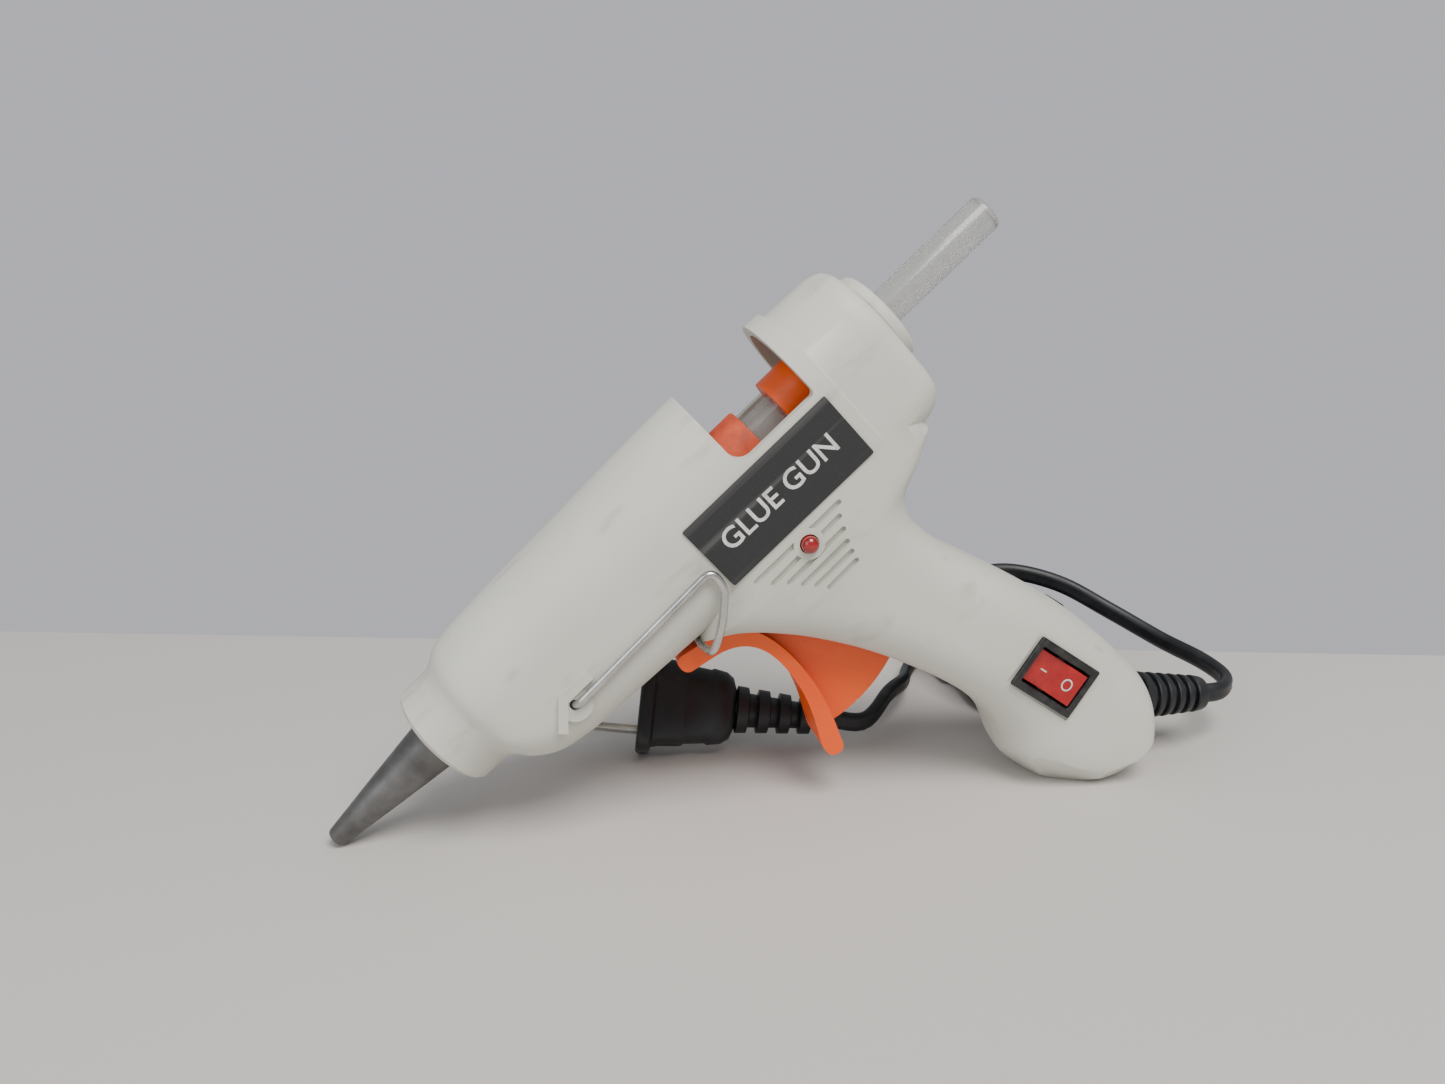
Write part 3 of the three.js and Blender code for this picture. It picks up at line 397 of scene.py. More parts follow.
def in_plug(points):
    """Plug millimetres (along the lead, across, blade to blade) to the row frame in metres."""
    x, y, z = np.moveaxis(points, -1, 0)
    return on_table(PLUG_AT + x[..., None] * plug_way + y[..., None] * plug_side + z[..., None] * plug_top)


def rounded_rings(stations, sides):
    """Superellipse rings at (along, half width, half height, power n): each ring goes out by its half
    width times cosine to the power 2/n, and its half height times sine to the same power."""
    s = np.asarray(stations, float)[:, :, None]
    t = np.linspace(0, 2 * np.pi, sides, endpoint=False)[None]
    x, w, h, power = s[:, 0], s[:, 1], s[:, 2], s[:, 3]
    return np.stack([
        x + 0 * t,
        w * np.sign(np.cos(t)) * np.abs(np.cos(t)) ** (2 / power),
        h * np.sign(np.sin(t)) * np.abs(np.sin(t)) ** (2 / power),
    ], axis=-1)


flange = [
    (-1.7, 6.5, 10.5, 5), (-1.4, 6.8, 10.9, 5), (-1.0, 7.0, 11.1, 5), (0.6, 7.0, 11.1, 5),
    (1.0, 6.8, 10.9, 5), (1.3, 6.4, 10.4, 5), (1.6, 5.9, 9.6, 5),
]
grip = [
    (3.0, 5.9, 9.2, 5), (7.0, 6.0, 8.9, 4.6), (8.0, 6.1, 8.8, 4.4), (8.5, 5.6, 8.3, 4.4), (13.0, 5.5, 7.8, 4),
    (13.6, 5.9, 8.1, 4), (16.5, 5.7, 7.6, 3.6), (18.0, 5.0, 6.6, 3.2), (18.8, 3.7, 4.6, 2.6),
]
boot = []
for k in range(4):
    start, size = 19.0 + 4.6 * k, 5.1 - 0.36 * k
    boot += [
        (start, size - 1.3, size - 1.2, 2),
        (start + 0.3, size - 0.2, size, 2.2),
        (start + 2.6, size - 0.4, size - 0.2, 2.2),
        (start + 2.9, size - 1.4, size - 1.4, 2),
        (start + 4.4, size - 1.5, size - 1.5, 2),
    ]
boot += [(37.6, 3.2, 3.4, 2), (39.8, 2.7, 3.0, 2), (40.2, 2.2, 2.6, 2)]
plug_skin = rounded_rings(flange + grip + boot, 48)
plug = mesh_object("plug_moulding", [(in_plug(plug_skin), closed_grid(plug_skin))], sharp=50)
fit(plug, PVC, "gun", "black", "plug_body")


def plated_metal():
    """Nickel-plated strip: fine lengthwise rolling lines, light tarnish."""
    material = node_material("plated_metal", Metallic=1.0)
    tarnish = add_noise(material, 220, 5)
    tint(material, tarnish.outputs["Fac"], [(0.3, (0.42, 0.39, 0.34)), (0.7, (0.62, 0.60, 0.56))])
    lines = add_noise(material, 900, 3, stretch=(12, 1, 1))
    roughen(material, lines.outputs["Fac"], (0.3, 0.24), (0.7, 0.42))
    emboss(material, lines.outputs["Fac"], 0.2, 0.00003)
    return material


PLATED = plated_metal()
BLADE = {"wide": 6.3, "thick": 1.5, "out": 15.5, "apart": 12.7, "root": -2.0}
blade_tip = BLADE["root"] - BLADE["out"]
for name, side in (("plug_blade_a", 1), ("plug_blade_b", -1)):
    blade_skin = rounded_rings([
        (blade_tip, 2.0, 0.25, 6), (blade_tip + 0.9, 2.8, 0.6, 6),
        (blade_tip + 1.8, BLADE["wide"] / 2, BLADE["thick"] / 2, 8),
        (BLADE["root"] + 0.6, BLADE["wide"] / 2, BLADE["thick"] / 2, 8),
    ], 32)
    blade_skin[..., 2] += side * BLADE["apart"] / 2
    blade = mesh_object(name + "_strip", [(in_plug(blade_skin), closed_grid(blade_skin))])
    fit(blade, PLATED, "gun", "blade", name)

# ---- strain relief ----------------------------------------------------------------------
# Tapered, slotted black PVC sleeve moulded on the lead, so that it can't be bent sharply where
# it leaves the heel. Its flange is trapped in the wall between the two casing halves.
ribs = []
for k in range(5):
    start = 1.9 + 2.4 * k
    size = RELIEF["root"] - (RELIEF["root"] - RELIEF["end"]) * start / RELIEF["length"]
    ribs += [
        (start, size), (start + 0.15, size - 0.9), (start + 0.95, size - 0.95),
        (start + 1.15, size - 0.15), (start + 1.4, size),
    ]
relief_profile = np.array([  # along, radius
    (-6.4, 3.0), (-6.2, 4.2), (-5.4, 4.2), (-5.2, 3.5), (0.35, 3.5), (0.4, 4.7), (0.7, 5.0), *ribs,
    (14.6, 3.65), (15.2, 3.4), (15.4, 2.9), (15.4, 1.6),
])
# Steps at one place along are set a hair apart, so that the line has a direction there.
HAIR = 1e-5
relief_line = np.array(RELIEF["at"]) + relief_profile[:, :1] * relief_way
relief_line = relief_line + np.arange(len(relief_line))[:, None] * HAIR * relief_way
relief_skin = swept(relief_line, ring(1, 40) * relief_profile[:, 1, None, None])
relief = mesh_object("strain_relief_sleeve", [(on_table(relief_skin), closed_grid(relief_skin))], sharp=40)
fit(relief, PVC, "gun", "cord", "strain_relief")

# ---- casing -----------------------------------------------------------------------------
# Two halves moulded in off-white ABS with 2 mm walls, held by five screws from the far side.
# Round collar in front, deep barrel with an open window on top, hooded rear, leaning grip.
HALF_WIDTH = 13.3
WALL = 2.0
BARREL = [  # x, half width, top, depth, lower corner radius
    (27.8, 9.9, 9.9, 9.9, 9.9), (28.05, 10.45, 10.45, 10.45, 10.45), (28.7, 10.9, 10.9, 10.9, 10.9),
    (34.5, 10.9, 10.9, 10.9, 10.9), (34.7, 11.0, 11.0, 11.05, 10.9), (36.2, 11.4, 11.6, 12.0, 10.6),
    (39.0, 12.8, 13.1, 14.2, 9.8), (43.0, 13.3, 13.8, 16.2, 9.0), (50, 13.3, 14.2, 17.4, 8.5),
    (74, 13.3, 15.0, 18.2, 8), (98, 13.3, 15.6, 19.5, 8), (122.85, 13.3, 15.5, 19.5, 7.5),
    (123.05, 13.15, 15.2, 19.3, 7.5), (123.2, 13.0, 14.6, 19.0, 7.5), (123.3, 13.0, 14.3, 19.0, 7.5),
    (132.6, 13.0, 14.0, 18.2, 7), (134.8, 12.8, 13.6, 17.4, 7), (136.1, 12.3, 12.9, 16.6, 7),
    (136.8, 11.5, 12.0, 15.8, 6.7), (137, 10.8, 11.2, 15.2, 6.5),
]
GRIP = [  # z, front x, back x, squareness of the section
    (-10, 84, 133, 5), (-19, 74.5, 132.0, 5), (-21.4, 78.3, 128.6, 4.6), (-25, 82.2, 121.6, 4),
    (-28.5, 85.1, 119.2, 3.6), (-32.3, 87.9, 118.6, 3.3), (-39, 92.1, 119.6, 3.1), (-46, 95.8, 122, 3),
    (-53, 98.8, 124.6, 3), (-60, 101.4, 127, 3), (-68, 103.4, 129.3, 3), (-76, 103.6, 130.8, 3),
    (-80.5, 102.3, 131.4, 3), (-84.5, 100.7, 131.8, 3), (-88.5, 101, 132.1, 3), (-92.3, 102.4, 131.9, 3),
    (-95.5, 104.6, 131, 3), (-98.6, 108, 129.2, 2.9), (-101, 111, 126.6, 2.8), (-101.6, 113.5, 124.5, 2.7),
]


def barrel_skin(inset):
    """Rings along x: a half ellipse over the bore (half width by top), straight sides, and a quarter
    circle at each lower corner."""
    rows = np.array(BARREL)
    neck = smooth_line(rows[3:9], 0.8)[1:]
    length = smooth_line(rows[8:12], 4.0)[1:]
    rows = np.concatenate([rows[:4], neck, length, rows[12:]])
    x, half, top, depth, corner = (rows - [0, inset, inset, inset, inset]).T[..., None]
    corner = np.maximum(corner, 1)
    x = np.clip(x, BARREL[0][0] + inset, BARREL[-1][0] - inset)
    x = x + np.arange(len(x))[:, None] * 1e-4
    over = np.linspace(0, np.pi, 49)[None]
    left = np.linspace(np.pi, 1.5 * np.pi, 13)[None]
    rest = np.minimum(corner, depth * 0.98)
    right = left + np.pi / 2
    side, drop = half - corner, depth - rest
    y = np.concatenate([
        half * np.cos(over), corner * np.cos(left) - side, corner * np.cos(right) + side,
    ], axis=1)
    z = np.concatenate([
        top * np.sin(over), rest * np.sin(left) - drop, rest * np.sin(right) - drop,
    ], axis=1)
    return np.stack([x + 0 * y, y, z], axis=-1)


def grip_skin(inset):
    """Superellipse rings down the grip: x from the middle of the front and back lines by half their
    distance times cosine to the power 2/n, y by the half width times sine to the same power."""
    rows = np.concatenate([np.array(GRIP[:1]), smooth_line(GRIP[1:], 1.2)])
    z, front, back, power = rows.T[..., None]
    z = np.maximum(z, GRIP[-1][0] + inset) - np.arange(len(z))[:, None] * 1e-4
    t = np.linspace(0, 2 * np.pi, 72, endpoint=False)[None]
    middle, reach_x = (front + back) / 2, (back - front) / 2 - inset
    return np.stack([
        middle + reach_x * np.sign(np.cos(t)) * np.abs(np.cos(t)) ** (2 / power),
        (HALF_WIDTH - inset) * np.sign(np.sin(t)) * np.abs(np.sin(t)) ** (2 / power),
        z + 0 * t,
    ], axis=-1)


def plate(outline, y0, y1):
    """Points of a flat outline (x, z), two rings across the gun from y0 to y1."""
    outline = np.array(outline, float)
    return np.stack([np.insert(outline, 1, y0, axis=1), np.insert(outline, 1, y1, axis=1)])


def disc(x, z, radius, y0, y1, sides=40):
    """A round bar across the gun."""
    return plate(ring(radius, sides) + [x, z], y0, y1)


def box(x0, x1, y0, y1, z0, z1):
    """A box across the gun."""
    return plate([(x0, z0), (x1, z0), (x1, z1), (x0, z1)], y0, y1)


def bored(x0, x1, radius):
    """A round bar along the bore axis."""
    y, z = ring(radius, 48).T
    return np.stack([np.stack([0 * y + x, y, z], axis=-1) for x in (x0, x1)])


def solid_object(points, place=stand):
    """A closed grid of rings as a scratch object."""
    return mesh_object("scratch", [(place(points), closed_grid(points))])


def carve(piece, steps):
    """The piece after each (operation, scratch object) in turn; the scratch objects go."""
    for operation, other in steps:
        modifier = piece.modifiers.new("carve", "BOOLEAN")
        modifier.solver = "MANIFOLD"
        modifier.operation = operation
        modifier.object = other
    bpy.context.view_layer.update()
    done = bpy.data.meshes.new_from_object(piece.evaluated_get(bpy.context.evaluated_depsgraph_get()))
    piece.modifiers.clear()
    piece.data = done
    for _, other in steps:
        bpy.data.objects.remove(other)
    return piece


WINDOW = {"x0": 101.7, "x1": 119.6, "z": 1.5}
bend = np.linspace(0, np.pi / 2, 9)
window_line = np.concatenate([
    [(WINDOW["x0"], 30)],
    np.stack([WINDOW["x0"] + 3 - 3 * np.cos(bend), WINDOW["z"] + 3 - 3 * np.sin(bend)], axis=-1),
    np.stack([WINDOW["x1"] - 1 + np.sin(bend), WINDOW["z"] + 1 - np.cos(bend)], axis=-1),
    [(WINDOW["x1"], 30)],
])
SLOT = [  # the trigger's slot, x and z
    (70, -18.95), (66, -40), (78, -62), (103.5, -56.5), (102.8, -52), (98.5, -41), (93.5, -32), (88.5, -23.5),
    (85, -18.95),
]
SCREWS = [  # x, z and how far the head is sunk below the flat side
    (44.6, -11.6, 0.65), (127.2, -10.6, 0.65), (111.0, -33.0, 0.7), (123.0, -59.6, 2.2), (110.0, -88.5, 1.1),
]
STAND_PIVOT = (52.0, -8.9)
LAMP_AT = (101.2, -17.7)
GROOVES = [  # x and z of both ends
    (89.8, -16.0, 110.0, -15.8), (91.8, -18.4, 108.4, -17.8), (93.9, -20.4, 107.4, -20.1),
    (95.5, -22.5, 106.4, -22.3), (97.1, -24.4, 105.8, -24.3), (98.5, -26.4, 105.3, -26.2),
]
SWITCH_AT = (117.7, -72.6)
SWITCH_TURN = math.radians(13.6)
FAR = HALF_WIDTH + 6


def in_switch(points):
    """Switch millimetres (across its width, y, along its length) to level millimetres."""
    x, y, z = np.moveaxis(np.asarray(points, float), -1, 0)
    c, s = math.cos(SWITCH_TURN), math.sin(SWITCH_TURN)
    return np.stack([SWITCH_AT[0] + x * c - z * s, y, SWITCH_AT[1] + x * s + z * c], axis=-1)


def switch_opening(half_wide, half_long, floor):
    """A rectangular cut in the near side, along the switch's own directions, down to y = floor."""
    outline = in_switch(box(-half_wide, half_wide, -FAR, 0, -half_long, half_long))[0][:, [0, 2]]
    return solid_object(plate(outline, -FAR, floor))


def groove_line(x0, z0, x1, z1, deep=0.8, wide=1.0):
    """A straight groove with round ends in the near flat side."""
    half_turn = np.linspace(-np.pi / 2, np.pi / 2, 7)
    ends = np.concatenate([
        np.stack([x1 + wide / 2 * np.cos(half_turn), z1 + wide / 2 * np.sin(half_turn)], axis=-1),
        np.stack([x0 - wide / 2 * np.cos(half_turn), z0 - wide / 2 * np.sin(half_turn)], axis=-1),
    ])
    return plate(ends, -HALF_WIDTH - 2, -HALF_WIDTH + deep)


def outer_body(inset):
    """Barrel and grip joined."""
    return carve(solid_object(barrel_skin(inset)), [("UNION", solid_object(grip_skin(inset)))])


# The heel is finished in flats: planes that dip under it all round, each a little inside its crown.
FLAT_DEPTH = 1.3
HEEL_HEIGHT = 24
DIP = math.radians(44)
heel = (stand(grip_skin(0)) * 1000 - TABLE_SHIFT * [1, 1, 0]).reshape(-1, 3)
heel = heel[heel[:, 2] < HEEL_HEIGHT]
heel_middle = heel.mean(axis=0)
heel_flats = []
for bearing in np.radians([-155, -115, -75, -35, 35, 75, 115, 155]):
    facing = np.array([math.cos(bearing) * math.cos(DIP), math.sin(bearing) * math.cos(DIP), -math.sin(DIP)])
    crown = ((heel - heel_middle) @ facing).max() - FLAT_DEPTH
    slab = swept(heel_middle + np.outer([crown, crown + 12], facing), ring(22, 4))
    heel_flats.append(("DIFFERENCE", solid_object(slab, on_table)))
casing = outer_body(0)
casing = carve(casing, heel_flats)
relief_bore = np.array(RELIEF["at"]) + np.array([[-9.0], [0.1], [0.1001], [6.0]]) * relief_way
relief_bore = swept(relief_bore, ring(1, 32) * np.array([3.8, 3.8, 6.5, 6.5])[:, None, None])
cuts = [
    ("DIFFERENCE", solid_object(box(-100, 300, -60, 60, -80, 0), on_table)),
    ("DIFFERENCE", outer_body(WALL)),
    ("DIFFERENCE", solid_object(plate(window_line, -FAR, FAR))),
    ("DIFFERENCE", solid_object(plate(SLOT, -6.3, 6.3))),
    ("DIFFERENCE", solid_object(bored(20, 33, 6.0))),
    ("DIFFERENCE", solid_object(bored(132, 142, 6.7))),
    ("UNION", solid_object(box(WINDOW["x0"] - 1, 134, -12.2, 12.2, -8.3, -7.1))),
    ("DIFFERENCE", solid_object(box(WINDOW["x0"] + 2, 124.3, -2.8, 2.8, -12, -5))),
    ("UNION", solid_object(plate([(99.7, -7.2), (101.3, -7.2), (101.3, 6), (99.7, 6)], -12.0, 12.0))),
    ("DIFFERENCE", solid_object(bored(98, 103, 6.3))),
    ("DIFFERENCE", switch_opening(5.95, 7.95, -HALF_WIDTH + 0.5)),
    ("DIFFERENCE", switch_opening(4.7, 6.8, -6)),
    ("DIFFERENCE", solid_object(disc(*TRIGGER_PIN, 1.67, -9.4, 9.4))),
    ("DIFFERENCE", solid_object(relief_bore, on_table)),
]
# Round the stand's pivot, on both sides: a low pad and the angled rib that stops its legs.
STOP = np.array([(-5.7, -1.5), (-4.5, -2.8), (-0.4, 1.4), (5.8, 1.4), (5.8, 3.2), (-1.0, 3.2)]) + STAND_PIVOT
for side in (-1, 1):
    low, rib, pad = side * (HALF_WIDTH - 0.6), side * (HALF_WIDTH + 1.0), side * (HALF_WIDTH + 0.35)
    cuts.append(("UNION", solid_object(plate(STOP, min(low, rib), max(low, rib)))))
    cuts.append(("UNION", solid_object(disc(*STAND_PIVOT, 3.2, min(low, pad), max(low, pad)))))
cuts.append(("DIFFERENCE", solid_object(disc(*STAND_PIVOT, 1.02, -FAR, FAR))))
for line in GROOVES:
    cuts.append(("DIFFERENCE", solid_object(groove_line(*line))))
cuts.append(("UNION", solid_object(disc(*LAMP_AT, 2.9, -HALF_WIDTH - 0.02, -HALF_WIDTH + 1.2))))
cuts.append(("DIFFERENCE", solid_object(disc(*LAMP_AT, 1.8, -FAR, -8))))
for x, z, sunk in SCREWS:
    cuts.append(("DIFFERENCE", solid_object(disc(x, z, 2.67, HALF_WIDTH - 1.95 - sunk, FAR))))
casing = carve(casing, cuts)
casing.name = "casing_left"
casing_right = casing.copy()
casing_right.data = casing.data.copy()
casing_right.name = "casing_right"
bpy.context.scene.collection.objects.link(casing_right)
carve(casing, [("DIFFERENCE", solid_object(box(-50, 300, -0.05, 60, -200, 200)))])
carve(casing_right, [("DIFFERENCE", solid_object(box(-50, 300, -60, 0.05, -200, 200)))])


def mix_colours(material, fac, a, b, mode="MIX"):
    """A colour mix; fac is a number or a socket, a and b are colours or sockets."""
    nodes, links = material.node_tree.nodes, material.node_tree.links
    mix = nodes.new("ShaderNodeMix")
    mix.data_type = "RGBA"
    mix.blend_type = mode
    for socket, value in ((mix.inputs[0], fac), (mix.inputs[6], a), (mix.inputs[7], b)):
        if hasattr(value, "links"):
            links.new(value, socket)
        else:
            socket.default_value = value if isinstance(value, float) else (*value, 1)
    return mix.outputs[2]


def casing_plastic():
    """Off-white ABS: faint yellowing, fine spark-eroded grain, scuffs, dust specks and a few dark marks."""
    material = node_material("casing_plastic")
    tone = add_noise(material, 28, 3)
    base = add_ramp(material, tone.outputs["Fac"], [
        (0.3, (0.575, 0.572, 0.500)),
        (0.55, (0.625, 0.622, 0.552)),
        (0.75, (0.655, 0.652, 0.590)),
    ])
    scuff = add_noise(material, 210, 8, stretch=(3.2, 1, 1), turn=-SLOPE)
    scuffs = add_ramp(material, scuff.outputs["Fac"], [(0.61, (0, 0, 0)), (0.76, (1, 1, 1))])
    worn = mix_colours(material, scuffs.outputs["Color"], base.outputs["Color"], (0.50, 0.49, 0.43))
    speck = add_noise(material, 900, 1, kind="ShaderNodeTexVoronoi")
    specks = add_ramp(material, speck.outputs["Distance"], [(0.05, (1, 1, 1)), (0.10, (0, 0, 0))])
    patch = add_noise(material, 70, 2)
    patches = add_ramp(material, patch.outputs["Fac"], [(0.55, (0, 0, 0)), (0.68, (1, 1, 1))])
    both = mix_colours(material, 1.0, specks.outputs["Color"], patches.outputs["Color"], "MULTIPLY")
    marked = mix_colours(material, both, worn, (0.20, 0.18, 0.14))
    to_shader(material, marked, "Base Color")
    roughen(material, scuff.outputs["Fac"], (0.35, 0.40), (0.7, 0.60))
    grain = add_noise(material, 3200, 2)
    ripple = add_noise(material, 60, 2)
    low = add_bump(material, ripple.outputs["Fac"], 0.12, 0.0004)
    emboss(material, grain.outputs["Fac"], 0.28, 0.00006, low)
    return material


ABS = casing_plastic()


def shade(piece, sharp):
    """Smooth shading that keeps edges over sharp degrees."""
    piece.data.shade_smooth()
    piece.data.set_sharp_from_angle(angle=math.radians(sharp))


for shell, node in ((casing, "left_shell"), (casing_right, "right_shell")):
    shade(shell, 32)
    fit(shell, ABS, "gun", "casing", node)

# ---- nozzle -----------------------------------------------------------------------------
# Steel cone turned and drilled in one setting, dark and dull from heat. Its threaded root
# screws into the front of the melt chamber.


def turned(name, profile, sides=64, sharp=35, place=stand):
    """A closed profile (x, radius) turned about the bore axis."""
    profile = np.array(profile, float)
    line = np.stack([profile[:, 0], 0 * profile[:, 0], 0 * profile[:, 0]], axis=-1)
    y, z = ring(1, sides).T
    points = line[:, None] + profile[:, 1, None, None] * np.stack([0 * y, y, z], axis=-1)
    return mesh_object(name, [(place(points), grid_faces(len(points), sides))], sharp)


nozzle = turned("nozzle_cone", [
    (0.5, 0.8), (0.12, 0.95), (0, 1.2), (0, 1.7), (0.15, 1.9), (0.5, 2.02), (13.0, 3.62), (26.4, 5.22),
    (26.8, 5.3), (32.7, 5.3), (32.7, 3.2), (40.5, 3.2), (40.5, 2.2), (26, 2.0), (6, 0.8), (0.5, 0.8),
])


def heated_steel():
    """Grey turned steel: fine rings from turning and blotches from heat."""
    material = node_material("heated_steel", Metallic=0.85)
    blotch = add_noise(material, 190, 5)
    tint(material, blotch.outputs["Fac"], [(0.3, (0.115, 0.113, 0.112)), (0.7, (0.20, 0.198, 0.195))])
    rings = add_noise(material, 2300, 2, stretch=(1, 40, 40), turn=-SLOPE)
    roughen(material, rings.outputs["Fac"], (0.3, 0.36), (0.7, 0.56))
    coarse = add_bump(material, blotch.outputs["Fac"], 0.2, 0.0001)
    emboss(material, rings.outputs["Fac"], 0.25, 0.00003, coarse)
    return material


fit(nozzle, heated_steel(), "gun", "nozzle", "nozzle")

# ---- glue stick -------------------------------------------------------------------------
# Clear EVA hot-melt, extruded as a 7 mm rod, so its frosty skin has drawn lines along it. It is
# pushed in through the rear bush and is carried forward by the feeder ring.
stick = turned("glue_stick_rod", [
    (46.5, 0.0), (46.5, 2.4), (48.7, 3.55), (165.2, 3.55), (165.6, 3.45), (165.9, 3.15), (166.0, 2.7),
    (165.9, 0.0),
], sides=72)


def clear_glue():
    """Cloudy clear hot-melt: milky body and faint lengthwise lines."""
    material = node_material(
        "clear_glue", Transmission_Weight=0.82, IOR=1.38, Coat_Weight=0.35, Coat_Roughness=0.12,
    )
    cloud = add_noise(material, 120, 4)
    tint(material, cloud.outputs["Fac"], [(0.3, (0.80, 0.79, 0.76)), (0.7, (0.92, 0.91, 0.89))])
    lines = add_noise(material, 1100, 3, stretch=(30, 1, 1), turn=-SLOPE)
    roughen(material, lines.outputs["Fac"], (0.3, 0.16), (0.7, 0.32))
    emboss(material, lines.outputs["Fac"], 0.3, 0.00008)
    return material


fit(stick, clear_glue(), "feeder", "stick", "glue_stick")

# ---- inlet sleeve -----------------------------------------------------------------------
# Orange-red moulded silicone tube, matt and a little dusty. It is pushed over the melt chamber's
# spigot and guides the stick in without letting melted glue back out.
sleeve = turned("inlet_sleeve_tube", [
    (74.5, 4.9), (74.5, 6.8), (74.8, 7.0), (82.0, 7.0), (84.4, 6.0), (107.1, 6.0), (107.5, 5.85),
    (107.6, 5.6), (107.6, 4.2), (107.4, 3.9), (107.0, 3.85), (83.2, 3.85), (82.3, 4.9), (74.5, 4.9),
], sides=96)


def silicone():
    """Matt orange-red silicone: mottled, dusty, fine skin."""
    material = node_material("silicone")
    mottle = add_noise(material, 330, 6)
    tint(material, mottle.outputs["Fac"], [
        (0.3, (0.42, 0.050, 0.018)),
        (0.55, (0.60, 0.080, 0.028)),
        (0.75, (0.66, 0.15, 0.075)),
    ])
    roughen(material, mottle.outputs["Fac"], (0.3, 0.62), (0.7, 0.80))
    emboss(material, mottle.outputs["Fac"], 0.4, 0.0003)
    return material


fit(sleeve, silicone(), "gun", "silicone", "inlet_sleeve")

# ---- feeder ring ------------------------------------------------------------------------
# Glossy orange polypropylene ring round the stick, which slides on a shelf of the casing. The
# lug under it takes the link's pin, in an oversize hole.
ARM = 12.0
ARM_LEAN = math.radians(10)
LINK_LENGTH = 28.9
LINK_PIN = (TRIGGER_PIN[0] + ARM * math.sin(ARM_LEAN), TRIGGER_PIN[1] + ARM * math.cos(ARM_LEAN))
FEED_PIN = (LINK_PIN[0] + LINK_LENGTH, LINK_PIN[1])
feeder = solid_object(bored(114.3, 122.3, 6.45))
feeder = carve(feeder, [
    ("UNION", solid_object(box(FEED_PIN[0] - 2.5, FEED_PIN[0] + 2.5, -2.2, 2.2, FEED_PIN[1] - 2.4, -5.2))),
    ("DIFFERENCE", solid_object(bored(110, 125, 3.85))),
    ("DIFFERENCE", solid_object(disc(*FEED_PIN, 1.45, -4, 4))),
])
feeder.name = "feeder_ring_moulding"


def soften(piece, radius, limit=50, sharp=35):
    """Edges over the limit rounded to a radius in metres, then smooth shading."""
    rounding = piece.modifiers.new("edges", "BEVEL")
    rounding.width = radius
    rounding.segments = 3
    rounding.limit_method = "ANGLE"
    rounding.angle_limit = math.radians(limit)
    shade(piece, sharp)


soften(feeder, 0.0006)


def orange_plastic():
    """Glossy orange polypropylene: slight flow shading and fine scratches."""
    material = node_material("orange_plastic")
    flow = add_noise(material, 55, 3)
    tone = add_ramp(material, flow.outputs["Fac"], [(0.3, (0.88, 0.085, 0.004)), (0.7, (0.93, 0.115, 0.007))])
    scratch = add_noise(material, 420, 8, stretch=(6, 1, 1), turn=0.5)
    marks = add_ramp(material, scratch.outputs["Fac"], [(0.62, (0, 0, 0)), (0.78, (1, 1, 1))])
    worn = mix_colours(material, marks.outputs["Color"], tone.outputs["Color"], (0.80, 0.16, 0.03))
    to_shader(material, worn, "Base Color")
    roughen(material, scratch.outputs["Fac"], (0.35, 0.27), (0.7, 0.46))
    low = add_bump(material, flow.outputs["Fac"], 0.15, 0.0004)
    emboss(material, scratch.outputs["Fac"], 0.15, 0.00008, low)
    return material


ORANGE = orange_plastic()
fit(feeder, ORANGE, "feeder", "orange", "feeder_ring")

# ---- rear bush --------------------------------------------------------------------------
# Off-white ABS disc with a rounded hole, moulded in one and trapped between the two halves of
# the hood. The stick enters through it.
bush = turned("rear_bush_disc", [
    (134.2, 4.2), (134.2, 6.3), (137.3, 6.3), (137.3, 9.1), (137.5, 9.3), (138.6, 9.3), (139.1, 9.1),
    (139.5, 8.6), (139.6, 8.0), (139.6, 4.9), (139.4, 4.4),
    (138.9, 4.05), (138.3, 3.9), (134.5, 3.9), (134.2, 4.2),
], sides=96)
fit(bush, ABS, "gun", "casing", "rear_bush")

# ---- trigger ----------------------------------------------------------------------------
# Orange moulding: a broad curved finger blade, a side plate behind it that runs up into the
# casing, a hub round the pin and an arm to the link.
TRIGGER_HALF = 5.5


def curve(*points):
    """Bezier points of any degree (Bernstein form), 13 steps, first point left out."""
    p = np.array(points, float)
    u = np.linspace(0, 1, 13)[1:, None]
    n = len(p) - 1
    return sum(math.comb(n, k) * (1 - u) ** (n - k) * u**k * p[k] for k in range(n + 1))


def reach(angle, radius=30.3):
    """The point at an angle and radius from the trigger pin."""
    return (TRIGGER_PIN[0] + radius * math.cos(angle), TRIGGER_PIN[1] + radius * math.sin(angle))


blade_outline = np.concatenate([
    [(68.2, -20.6)],
    curve((68.2, -20.6), (67.9, -22.6), (69.4, -23.0)),
    curve((69.4, -23.0), (74.6, -24.1)),
    curve((74.6, -24.1), (79.6, -25.3), (81.9, -28.6), (82.0, -34.0)),
    curve((82.0, -34.0), (82.0, -41.5), (79.6, -46.5), (76.4, -52.6)),
    curve((76.4, -52.6), (74.9, -56.6), (77.9, -56.9)),
    curve((77.9, -56.9), (79.2, -57.0), (79.9, -54.6)),
    curve((79.9, -54.6), (82.6, -48.5), (84.6, -41.5), (84.4, -34.5)),
    curve((84.4, -34.5), (84.4, -29.5), (83.0, -24.6), (80.4, -22.6)),
    [(78.4, -21.2)],
    curve((78.4, -21.2), (70.0, -19.35)),
    curve((70.0, -19.35), (68.4, -19.2), (68.2, -20.6))[:-1],
])
sweep_from = math.atan2(-52.2 - TRIGGER_PIN[1], 81.2 - TRIGGER_PIN[0])
sweep_to = math.atan2(-50.4 - TRIGGER_PIN[1], 98.7 - TRIGGER_PIN[0])
